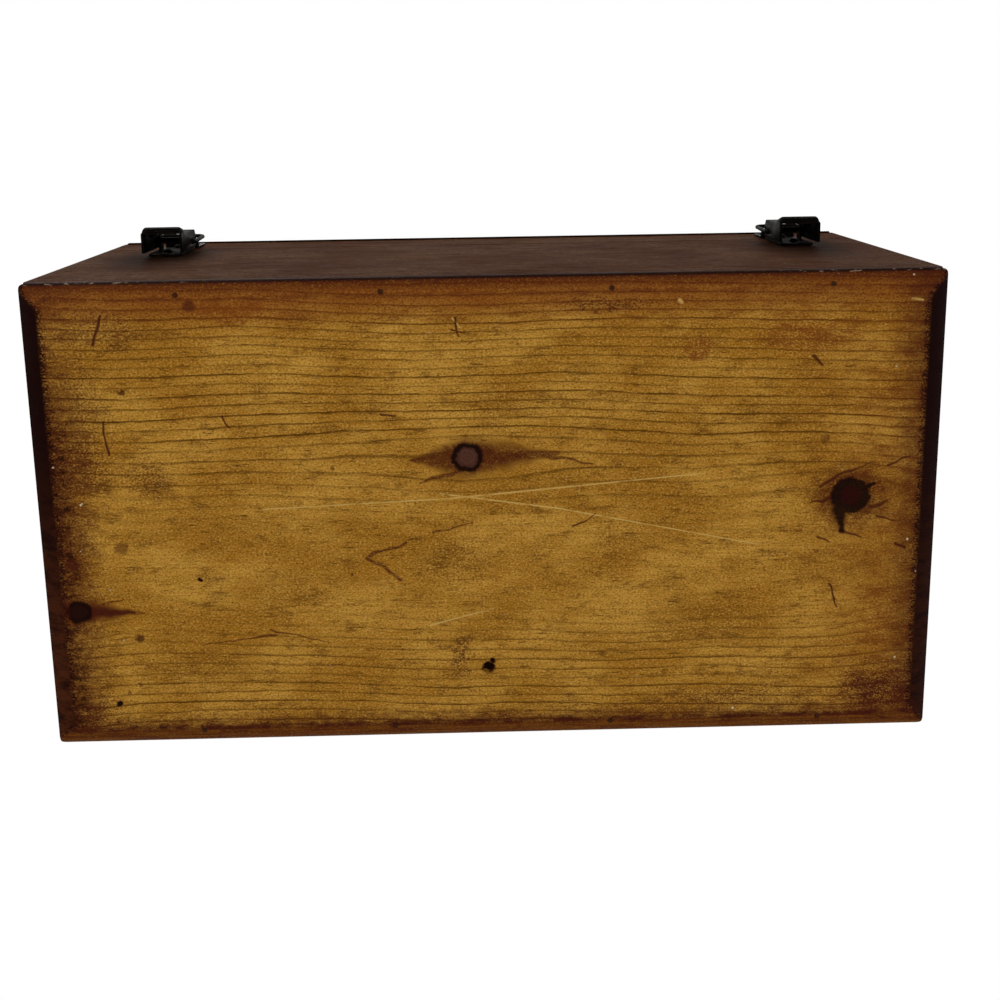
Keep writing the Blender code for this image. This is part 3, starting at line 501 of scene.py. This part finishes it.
    glow = add(tree, "Math", (add(tree, "MapRange", (y, *m["glowAlong"]), **soft),
                              add(tree, "MapRange", (x, *m["glowAcross"], 0.4, 1.0))), **times)
    glow = add(tree, "Math", (glow, add(tree, "MapRange", (smudge, 0.36, 0.60, 0.1, 1.0), **soft)), **times)
    endTone = paint(tree, hexColour(c["endGrain"]), c["endGlow"], glow)
    colour = add(tree, "Mix", {0: ends, 6: colour, 7: endTone}, out=2, data_type="RGBA")

    # the rim above the bevel is stained as the walls are; the front arris is dark, with pale chips on it that
    # also serve as a painted highlight along that edge
    rim = add(tree, "Math", (add(tree, "MapRange", (z, *e["rimLow"]), **soft),
                             add(tree, "MapRange", (z, *e["rimHigh"]), **soft)), **times)
    colour = paint(tree, colour, c["stain"], rim)
    arris = add(tree, "Math", (add(tree, "MapRange", (fromFront, *e["arris"]), **soft),
                               add(tree, "MapRange", (z, *e["arrisTop"]), **soft)), **times)
    colour = paint(tree, colour, c["soot"], arris, 0.85)
    # pale dashes along the front arris near the corners: chips, and a painted highlight on that edge
    chipsAndHighlight = add(tree, "MapRange", (streaks(tree, place, (5, 1.2, 40), 4.0, 0.7), 0.57, 0.64), **soft)
    corners = add(tree, "MapRange", (nearEnd, *e["paleArrisReach"], 0.0, 1.0), **soft)
    chipsAndHighlight = add(tree, "Math", (add(tree, "Math", (chipsAndHighlight, corners), **times), arris), **times)
    colour = paint(tree, colour, c["chipAndHighlight"], chipsAndHighlight, 0.6)
    tree.links.new(colour, shader.inputs["Base Color"])

    rough = add(tree, "MapRange", (add(tree, "Math", (grime, cloud), **larger), 0.2, 1.0, 0.48, 0.78))
    tree.links.new(rough, shader.inputs["Roughness"])
    shader.inputs["Specular IOR Level"].default_value = 0.02
    height = add(tree, "Math", (latewood, -0.5, add(tree, "Math", (smudge, grit), **plus)), **timesPlus)
    height = add(tree, "Math", (height, pale), **minus)
    relief = add(tree, "Bump", {"Strength": 0.7, "Distance": 0.3 * mm, "Height": height})
    tree.links.new(relief, shader.inputs["Normal"])
    return material


undersidePine = makeUndersidePine(pineMarks, pineEdges, pineColours)
print("underside pine,", len(undersidePine.node_tree.nodes), "nodes")

stainColours = {
    "stain": "#5E3F2B", "red": "#4C2A17", "line": "#2B160C", "scuff": "#8A6F5A", "worn": "#6E4930",
    "deep": "#170B06", "inside": "#B08A55", "insideLine": "#86602F", "insideDirt": "#5F4526",
}
stainSettings = {
    "ringWidth": 5.5, "slowSway": 30.0, "fineSway": 2.4,
    # the latches' places, and the half width and height of the painted shade round each
    "latchPlaces": ((-185, 140), (185, 140)), "latchShadeReach": (40, 95),
    "seamShade": (1.8, 0.5), "bareEdge": (2.0, 0.6), "bareTop": (8, 11),     # starts and is full, mm away
}


# dark brown spirit stain on pine: the grain shows through as darker lines, corners are rubbed back to wood,
# flat faces are scuffed, shade is painted dark round the latches on the front, and the inside was left bare
def makeStainedPine(name, axes, s, c, shadedLatches=()):
    material, tree, shader, place = startMaterial(name)
    sides = {axis: add(tree, "SeparateXYZ", (place,), out=axis) for axis in "XYZ"}
    grain = add(tree, "CombineXYZ", [sides[axis] for axis in axes])
    line = streaks(tree, grain, (170, 50, 60), 1.0)
    line = add(tree, "Math", (line, s["slowSway"], sides[axes[1]]), **timesPlus)
    line = add(tree, "Math", (streaks(tree, grain, (30, 6, 20), 2.0), s["fineSway"], line), **timesPlus)
    ring = add(tree, "Math", (line, s["ringWidth"]), operation="DIVIDE")
    share = add(tree, "Math", (ring,), operation="FRACT")
    tone = add(tree, "Math", (ring,), operation="FLOOR")
    tone = add(tree, "TexWhiteNoise", {"W": tone}, noise_dimensions="1D")
    latewood = add(tree, "Math", (add(tree, "MapRange", (share, 0.3, 0.9), **soft),
                                  add(tree, "MapRange", (share, 1.0, 0.93), **soft)), **times)
    latewood = add(tree, "Math", (latewood, add(tree, "Math", (tone, 0.7, 0.3), **timesPlus)), **times)
    fibre = streaks(tree, grain, (45, 0.8, 4), 3.0, 0.6)
    pores = streaks(tree, grain, (8, 0.6, 2), 2.0, 0.6)
    blotch = streaks(tree, place, (60, 60, 60), 4.0, 0.6)
    dirt = streaks(tree, grain, (16, 6, 9), 6.0, 0.75)
    dust = streaks(tree, grain, (2.4, 1.5, 1.5), 3.0, 0.65)

    # the pores are drawn coarser than real ones, to show
    stained = paintLayers(tree, hexColour(c["stain"]), c, [("red", blotch, 0.40, 0.62, 0.70)])
    stained = paint(tree, stained, c["line"], latewood, 0.85)
    stained = paintLayers(tree, stained, c, [
        ("line", fibre, 0.44, 0.66, 0.75), ("deep", pores, 0.54, 0.68, 0.80), ("deep", dirt, 0.56, 0.72, 0.60),
    ])
    scuffed = add(tree, "Math", (add(tree, "MapRange", (dust, 0.52, 0.66), **soft),
                                 add(tree, "MapRange", (blotch, 0.60, 0.38, 0.15, 1.0), **soft)), **times)
    stained = paint(tree, stained, c["scuff"], scuffed, 0.28)
    stained = paint(tree, stained, c["deep"], add(tree, "MapRange", (dust, 0.50, 0.36), **soft), 0.28)
    # painted shade: the front is darkened in a ragged oval round and below each latch, where the latch's shade
    # falls
    for middle in shadedLatches:
        reach = ovalReach(tree, grain, middle, *s["latchShadeReach"])
        reach = add(tree, "Math", (reach, add(tree, "Math", (dirt, 0.5), **minus)), **plus)
        latchShade = add(tree, "Math", (add(tree, "MapRange", (reach, 1.1, 0.2), **soft),
                                     add(tree, "MapRange", (sides["Y"], 0.0, -1.0))), **times)
        stained = paint(tree, stained, c["deep"], latchShade, 0.88)
    wear = add(tree, "Attribute", out="Fac", attribute_name="edgeWear")
    worn = add(tree, "MapRange", (add(tree, "Math", (wear, 0.30, dirt), **timesPlus), 0.74, 0.98), **soft)
    stained = paint(tree, stained, c["worn"], worn, 0.7)
    # painted shade: a dark line along the seam between lid and body, where the rounded board edges leave a
    # groove
    seam = add(tree, "Math", (add(tree, "Math", (sides["Z"], seamHeight / mm), **minus),), operation="ABSOLUTE")
    stained = paint(tree, stained, c["deep"], add(tree, "MapRange", (seam, *s["seamShade"]), **soft), 0.9)

    bare = paint(tree, hexColour(c["inside"]), c["insideLine"], latewood, 0.8)
    bare = paintLayers(tree, bare, c, [
        ("insideLine", fibre, 0.50, 0.78, 0.5), ("insideLine", blotch, 0.44, 0.70, 0.5),
        ("insideDirt", dirt, 0.56, 0.72, 0.5),
    ])
    within = []
    for axis, limit in (("X", innerX / mm), ("Y", innerY / mm)):
        far = add(tree, "Math", (sides[axis],), operation="ABSOLUTE")
        within.append(add(tree, "MapRange", (far, *(limit + edge for edge in s["bareEdge"])), **soft))
    below = add(tree, "MapRange", (sides["Z"], *(lidTop / mm - depth for depth in s["bareTop"])), **soft)
    inside = add(tree, "Math", (add(tree, "Math", within, **times), below), **times)
    colour = add(tree, "Mix", {0: inside, 6: stained, 7: bare}, out=2, data_type="RGBA")
    tree.links.new(colour, shader.inputs["Base Color"])

    tree.links.new(add(tree, "MapRange", (dirt, 0.3, 0.7, 0.42, 0.66)), shader.inputs["Roughness"])
    shader.inputs["Specular IOR Level"].default_value = 0.0015
    height = add(tree, "Math", (latewood, 0.4, add(tree, "Math", (fibre, 0.8), **times)), **timesPlus)
    relief = add(tree, "Bump", {"Strength": 0.6, "Distance": 0.2 * mm, "Height": height})
    tree.links.new(relief, shader.inputs["Normal"])
    return material


latchPlaces = stainSettings["latchPlaces"]
# the long boards also get the painted shade round the latches
longStain = makeStainedPine("stainedPineLong", "XZY", stainSettings, stainColours, latchPlaces)
endStain = makeStainedPine("stainedPineEnd", "YZX", stainSettings, stainColours)
panelStain = makeStainedPine("stainedPinePanel", "XYZ", stainSettings, stainColours)

enamelColours = {"enamel": "#0B0806", "dust": "#1A140F", "bare": "#6A6058", "rust": "#341A0F"}


# black stoved enamel on pressed steel: smooth, with patches of dust and rubbed, browned steel on its edges
def makeBlackEnamel(c):
    material, tree, shader, place = startMaterial("blackEnamel")
    fleck = streaks(tree, place, (5, 5, 5), 4.0, 0.65)
    cloud = streaks(tree, place, (16, 16, 16), 3.0)
    wear = add(tree, "Attribute", out="Fac", attribute_name="edgeWear")
    rubbed = add(tree, "MapRange", (add(tree, "Math", (wear, 0.22, fleck), **timesPlus), 0.70, 0.78), **soft)
    colour = paintLayers(tree, hexColour(c["enamel"]), c, [("dust", cloud, 0.45, 0.75, 0.6)])
    colour = paint(tree, colour, c["bare"], rubbed, 0.8)
    colour = paintLayers(tree, colour, c, [("rust", fleck, 0.66, 0.74, 0.7)])
    tree.links.new(colour, shader.inputs["Base Color"])
    tree.links.new(add(tree, "MapRange", (cloud, 0.3, 0.7, 0.28, 0.5)), shader.inputs["Roughness"])
    tree.links.new(add(tree, "Math", (rubbed, 0.7), **times), shader.inputs["Metallic"])
    shader.inputs["Specular IOR Level"].default_value = 0.006
    relief = add(tree, "Bump", {"Strength": 0.4, "Distance": 0.1 * mm, "Height": fleck})
    tree.links.new(relief, shader.inputs["Normal"])
    return material


nailColours = {"steel": "#2B1D15", "rust": "#45200F", "dark": "#0E0705"}


# cut nails gone brown: dull steel with patches of rust
def makeRustySteel(c):
    material, tree, shader, place = startMaterial("rustySteel")
    crust = streaks(tree, place, (1.2, 1.2, 1.2), 4.0, 0.65)
    colour = paintLayers(tree, hexColour(c["steel"]), c, [
        ("rust", crust, 0.42, 0.58, 1.0), ("dark", crust, 0.58, 0.70, 1.0),
    ])
    tree.links.new(colour, shader.inputs["Base Color"])
    tree.links.new(add(tree, "MapRange", (crust, 0.3, 0.7, 0.5, 0.85)), shader.inputs["Roughness"])
    shader.inputs["Metallic"].default_value = 0.1
    shader.inputs["Specular IOR Level"].default_value = 0.05
    relief = add(tree, "Bump", {"Strength": 0.6, "Distance": 0.1 * mm, "Height": crust})
    tree.links.new(relief, shader.inputs["Normal"])
    return material


blackEnamel = makeBlackEnamel(enamelColours)
rustySteel = makeRustySteel(nailColours)
print("stain, enamel and nail steel")


def finishPiece(name, shape, material, body, replaced=(), sharp=35):
    mesh = bpy.data.meshes.new(name)
    shape.to_mesh(mesh)
    shape.free()
    for face in mesh.polygons:
        face.use_smooth = True
    mesh.set_sharp_from_angle(angle=math.radians(sharp))
    mesh.materials.append(material)
    piece = bpy.data.objects.new(name, mesh)
    bpy.context.scene.collection.objects.link(piece)
    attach(piece, body)
    if replaced:
        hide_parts(*replaced)


# underside board: a fine grid, so that bevels, dents and holes are real
undersideSettings = {
    "cell": 1.5 * mm, "endBevel": 9.0, "sideBevel": 7.5, "bevelHeight": 5.0, "arrisSoftness": 0.5,
    "nails": [f"base_nail_{i}" for i in range(1, 9)],
    "pits": [((-2.0, 82.8), 3.2, 3.5), ((0.2, 79.0), 1.5, 1.5)],     # place, radius and depth of the knot holes
    "refineReach": 3.0, "refineCuts": 2, "cornerRound": 3.0, "sharp": 50,
    "waves": (30, 12), "waveHeight": 0.12, "nailClearance": 0.3, "nailSink": 0.6,
    "pitRim": 1.2, "pitSlope": 0.4,     # in radii
}


def makeUnderside(s):
    shape = bmesh.new()
    columns, rows = round(2 * halfLength / s["cell"]), round(2 * halfDepth / s["cell"])
    bmesh.ops.create_grid(shape, x_segments=columns, y_segments=rows, size=0.5)
    bmesh.ops.scale(shape, vec=(2 * halfLength, 2 * halfDepth, 1), verts=shape.verts[:])
    pits = list(s["pits"])
    for nail in s["nails"]:
        low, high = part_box(nail)
        middle = (low + high) / 2 / mm
        radius = (high.x - low.x) / 2 / mm + s["nailClearance"]
        pits.append(((middle.x, middle.y), radius, low.z / mm + s["nailSink"]))
    for middle, radius, depth in pits:
        spot = Vector((*middle, 0)) * mm
        near = [e for e in shape.edges if (e.verts[0].co - spot).length < (radius + s["refineReach"]) * mm]
        bmesh.ops.subdivide_edges(shape, edges=near, cuts=s["refineCuts"], use_grid_fill=True)
    for vert in shape.verts:
        past = Vector((max(abs(vert.co.x) - halfLength + s["cornerRound"] * mm, 0),
                       max(abs(vert.co.y) - halfDepth + s["cornerRound"] * mm, 0)))
        if past.length > s["cornerRound"] * mm:
            pull = past * (1 - s["cornerRound"] * mm / past.length)
            vert.co -= Vector((math.copysign(pull.x, vert.co.x), math.copysign(pull.y, vert.co.y), 0))
        x, y = vert.co.x / mm, vert.co.y / mm
        slope = max(1 - (halfLength / mm - abs(x)) / s["endBevel"],
                    1 - (halfDepth / mm - abs(y)) / s["sideBevel"], 0)
        height = s["bevelHeight"] * (s["arrisSoftness"] * slope + (1 - s["arrisSoftness"]) * slope ** 2)
        wave = noise.noise(Vector((x / s["waves"][0], y / s["waves"][1], 0)))
        height += (1 - slope) * s["waveHeight"] * (1 + wave)
        for (px, py), radius, depth in pits:
            reach = math.hypot(x - px, y - py) / radius
            if reach < s["pitRim"]:
                height = max(height, depth * min(1, (s["pitRim"] - reach) / s["pitSlope"]))
        vert.co.z = height * mm
    rim = bmesh.ops.extrude_edge_only(shape, edges=[e for e in shape.edges if e.is_boundary])["geom"]
    for vert in rim:
        if isinstance(vert, bmesh.types.BMVert):
            vert.co.z = baseThickness
    bmesh.ops.contextual_create(shape, geom=[e for e in shape.edges if e.is_boundary])
    bmesh.ops.recalc_face_normals(shape, faces=shape.faces[:])
    finishPiece("undersideBoard", shape, undersidePine, "body", ["bottom_board"], s["sharp"])


makeUnderside(undersideSettings)
for nail in undersideSettings["nails"]:
    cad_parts[nail].data.materials.clear()
    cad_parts[nail].data.materials.append(rustySteel)
print("underside board and its nails")

# walls and rails: sawn boards with rubbed edges
boardSettings = {
    "edgeRound": 0.9 * mm, "wearReach": 3.5 * mm, "wideFace": (16 * mm) ** 2, "sharp": 40,
    "boards": {
        "front_board": ("frontWall", longStain, "body"), "back_board": ("backWall", longStain, "body"),
        "left_end_board": ("leftWall", endStain, "body"), "right_end_board": ("rightWall", endStain, "body"),
        "lid_front_rail": ("lidFront", longStain, "lid"), "lid_back_rail": ("lidBack", longStain, "lid"),
        "lid_left_rail": ("lidLeft", endStain, "lid"), "lid_right_rail": ("lidRight", endStain, "lid"),
    },
    "panel": {"endBevel": 9 * mm, "sideBevel": 7.5 * mm, "bevelHeight": 5 * mm},
}


# rounds the edges of a board and marks the points along them
def wearEdges(shape, s):
    layer = shape.verts.layers.float.new("edgeWear")
    bmesh.ops.bevel(shape, geom=shape.edges[:], offset=s["edgeRound"], offset_type="OFFSET", segments=3,
                    profile=0.5, affect="EDGES", material=-1)
    wide = [f for f in shape.faces if f.calc_area() > s["wideFace"]]
    bmesh.ops.inset_individual(shape, faces=wide, thickness=s["wearReach"])
    for vert in shape.verts:
        vert[layer] = 1.0
    for face in wide:
        for vert in face.verts:
            vert[layer] = 0.0


def makeBoard(node, s):
    name, material, body = s["boards"][node]
    low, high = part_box(node)
    shape = bmesh.new()
    bmesh.ops.create_cube(shape, size=1)
    bmesh.ops.scale(shape, vec=high - low, verts=shape.verts[:])
    bmesh.ops.translate(shape, vec=(low + high) / 2, verts=shape.verts[:])
    wearEdges(shape, s)
    finishPiece(name, shape, material, body, [node], s["sharp"])


def makeLidPanel(s):
    low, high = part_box("lid_panel")
    shape = bmesh.new()
    bmesh.ops.create_cube(shape, size=1)
    lower = Vector((high.x - low.x, high.y - low.y, high.z - low.z - s["panel"]["bevelHeight"]))
    bmesh.ops.scale(shape, vec=lower, verts=shape.verts[:])
    bmesh.ops.translate(shape, vec=(0, 0, low.z + lower.z / 2), verts=shape.verts[:])
    top = max(shape.faces, key=lambda face: face.calc_center_median().z)
    raised = bmesh.ops.extrude_face_region(shape, geom=[top])["geom"]
    bmesh.ops.delete(shape, geom=[top], context="FACES_ONLY")
    for vert in raised:
        if isinstance(vert, bmesh.types.BMVert):
            vert.co.z = high.z
            vert.co.x *= 1 - s["panel"]["endBevel"] / halfLength
            vert.co.y *= 1 - s["panel"]["sideBevel"] / halfDepth
    wearEdges(shape, s)
    finishPiece("lidPanel", shape, panelStain, "lid", ["lid_panel"], s["sharp"])


for node in boardSettings["boards"]:
    makeBoard(node, boardSettings)
makeLidPanel(boardSettings)
print("walls and lid")

# pressed and bent metal: copies of the CAD meshes with their edges softened and rubbed
metalSettings = {
    "edgeRound": 0.25 * mm, "sharp": 40, "flat": 1, "sheet": 1.4 * mm, "onCorner": 0.01 * mm,
    "channelTop": 177.5 * mm, "channelBack": -131 * mm, "outerBend": 3.2 * mm, "innerBend": 1.8 * mm,
    "softened": {
        "latch_base": "body", "latch_hook": "lid", "latch_lever": "{side}_lever",
        "hinge_body_leaf": "body", "hinge_lid_leaf": "lid",
    },
    "plain": {"latch_pin": "body", "latch_loop": "{side}_loop", "hinge_pin": "body"},
}


# the lever's channel is pressed from sheet, so its two long corners are bends
def bendLever(shape, node, s):
    low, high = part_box(node)
    middle, half = (low.x + high.x) / 2, (high.x - low.x) / 2
    whole = shape.verts[:] + shape.edges[:] + shape.faces[:]
    bmesh.ops.bisect_plane(shape, geom=whole, dist=cutGap, plane_co=(0, 0, s["channelTop"]), plane_no=(0, 0, 1))
    outer = (half, s["outerBend"], low.z)
    inner = (half - s["sheet"], s["innerBend"], low.z + s["sheet"])
    for reach, radius, start in (outer, inner):
        corners = [edge for edge in shape.edges if all(
            abs(abs(vert.co.x - middle) - reach) < s["onCorner"] and vert.co.y < s["channelBack"]
            and start < vert.co.z < s["channelTop"] + s["onCorner"] for vert in edge.verts)]
        bmesh.ops.bevel(shape, geom=corners, offset=radius, offset_type="OFFSET", segments=4, profile=0.5,
                        affect="EDGES", clamp_overlap=False, material=-1)
    for vert in shape.verts:
        vert.co.y = max(vert.co.y, low.y)       # a bend that runs out may overshoot the sheet


def softenMetal(node, body, s, rounded=True):
    shape = bmesh.new()
    shape.from_mesh(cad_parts[node].data)
    bmesh.ops.remove_doubles(shape, verts=shape.verts[:], dist=weld)
    bmesh.ops.dissolve_limit(shape, angle_limit=math.radians(s["flat"]), verts=shape.verts[:],
                             edges=shape.edges[:])
    if "lever" in node:
        bendLever(shape, node, s)
    layer = shape.faces.layers.float.new("edgeWear")
    if rounded:
        edges = [e for e in shape.edges if e.is_manifold and e.calc_face_angle() > math.radians(s["sharp"])]
        made = bmesh.ops.bevel(shape, geom=edges, offset=s["edgeRound"], offset_type="OFFSET", segments=2,
                               profile=0.5, affect="EDGES", clamp_overlap=True, material=-1)
        for face in made["faces"]:
            face[layer] = 1.0
    finishPiece(node + ".enamelled", shape, blackEnamel, body, [node])


for side in ("left", "right"):
    for part, body in metalSettings["softened"].items():
        softenMetal(f"{side}_{part}", body.format(side=side), metalSettings)
    for part, body in metalSettings["plain"].items():
        softenMetal(f"{side}_{part}", body.format(side=side), metalSettings, False)
    softenMetal(f"handle_{side}_bracket", "lid", metalSettings)
softenMetal("handle_bail", "handle", metalSettings, False)
print("latches, hinges and handle")

# round-head wood screws with a slot, each turned a little differently
screwSettings = {
    "rise": 1.8 * mm, "slotWidth": 0.7 * mm, "slotDepth": 0.8 * mm, "steps": 20, "sharp": 40, "turnStep": 1.3,
    "dome": (0, 0.4, 0.8, 1.2, math.pi / 2),        # angles up the head's round side
    "front": ["{side}_latch_screw_upper", "{side}_latch_screw_lower"],
    "frontLid": ["{side}_hook_screw_1", "{side}_hook_screw_2"],
    "back": ["{side}_hinge_body_screw_1", "{side}_hinge_body_screw_2"],
    "backLid": ["{side}_hinge_lid_screw_1", "{side}_hinge_lid_screw_2"],
    "top": ["handle_{side}_screw_1", "handle_{side}_screw_2"],
}


def makeScrew(node, outward, body, turn, s):
    low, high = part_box(node)
    middle = (low + high) / 2
    radius = min(high - low) / 2
    head = middle + outward * (abs(outward.dot(high - low)) / 2 - s["rise"])
    shape = bmesh.new()
    profile = [shape.verts.new((radius * math.cos(a), 0, s["rise"] * math.sin(a))) for a in s["dome"]]
    outline = [shape.edges.new(pair) for pair in zip(profile, profile[1:])]
    bmesh.ops.spin(shape, geom=profile + outline, axis=(0, 0, 1), cent=(0, 0, 0), steps=s["steps"],
                   angle=2 * math.pi, use_merge=True)
    bmesh.ops.remove_doubles(shape, verts=shape.verts[:], dist=weld)
    bmesh.ops.recalc_face_normals(shape, faces=shape.faces[:])
    for edge in (-1, 1):
        bmesh.ops.bisect_plane(shape, geom=shape.verts[:] + shape.edges[:] + shape.faces[:], dist=cutGap,
                               plane_co=(edge * s["slotWidth"] / 2, 0, 0), plane_no=(1, 0, 0))
    strip = [f for f in shape.faces if abs(f.calc_center_median().x) < s["slotWidth"] / 2]
    sunk = bmesh.ops.extrude_face_region(shape, geom=strip)["geom"]
    bmesh.ops.delete(shape, geom=strip, context="FACES_ONLY")
    for vert in sunk:
        if isinstance(vert, bmesh.types.BMVert):
            vert.co.z = min(vert.co.z, s["rise"] - s["slotDepth"])
    shape.faces.layers.float.new("edgeWear")
    facing = outward.to_track_quat("Z", "Y").to_matrix() @ Matrix.Rotation(turn, 3, "Z")
    bmesh.ops.rotate(shape, cent=(0, 0, 0), matrix=facing, verts=shape.verts[:])
    bmesh.ops.translate(shape, vec=head, verts=shape.verts[:])
    finishPiece(node + ".slotted", shape, blackEnamel, body, [node], s["sharp"])


screwFaces = {"front": ((0, -1, 0), "body"), "frontLid": ((0, -1, 0), "lid"), "back": ((0, 1, 0), "body"),
              "backLid": ((0, 1, 0), "lid"), "top": ((0, 0, 1), "lid")}
turned = 0
for group, (outward, body) in screwFaces.items():
    for pattern in screwSettings[group]:
        for side in ("left", "right"):
            turned += 1
            turn = turned * screwSettings["turnStep"]
            makeScrew(pattern.format(side=side), Vector(outward), body, turn, screwSettings)
print("screws,", turned)

# small wire nails that hold the corners and the lid's panel
cornerNails = {
    "radius": 1.1 * mm, "taper": 0.9, "segments": 12, "proud": 0.1 * mm, "depth": 1.5 * mm,
    "fromEnd": 6.5 * mm, "fromSide": 8 * mm,
    "bodyHeights": (32, 84, 138, 184), "lidHeights": (207, 229), "panelColumns": (-205, -70, 68, 204),
}


def addNailHead(shape, place, outward, s):
    turn = Vector(outward).to_track_quat("Z", "Y").to_matrix().to_4x4()
    middle = Vector(place) + Vector(outward) * (s["proud"] - s["depth"] / 2)
    bmesh.ops.create_cone(shape, cap_ends=True, segments=s["segments"], radius1=s["radius"],
                          radius2=s["radius"] * s["taper"], depth=s["depth"],
                          matrix=Matrix.Translation(middle) @ turn)


def makeCornerNails(s):
    body, lid = bmesh.new(), bmesh.new()
    across = halfLength - s["fromEnd"]
    for facing in (-1, 1):
        for x in (-across, across):
            for height in s["bodyHeights"]:
                addNailHead(body, (x, facing * halfDepth, height * mm), (0, facing, 0), s)
            for height in s["lidHeights"]:
                addNailHead(lid, (x, facing * halfDepth, height * mm), (0, facing, 0), s)
        for x in s["panelColumns"]:
            addNailHead(lid, (x * mm, facing * (halfDepth - s["fromSide"]), lidTop), (0, 0, 1), s)
    finishPiece("wallNails", body, rustySteel, "body")
    finishPiece("lidNails", lid, rustySteel, "lid")


makeCornerNails(cornerNails)
print("corner nails")
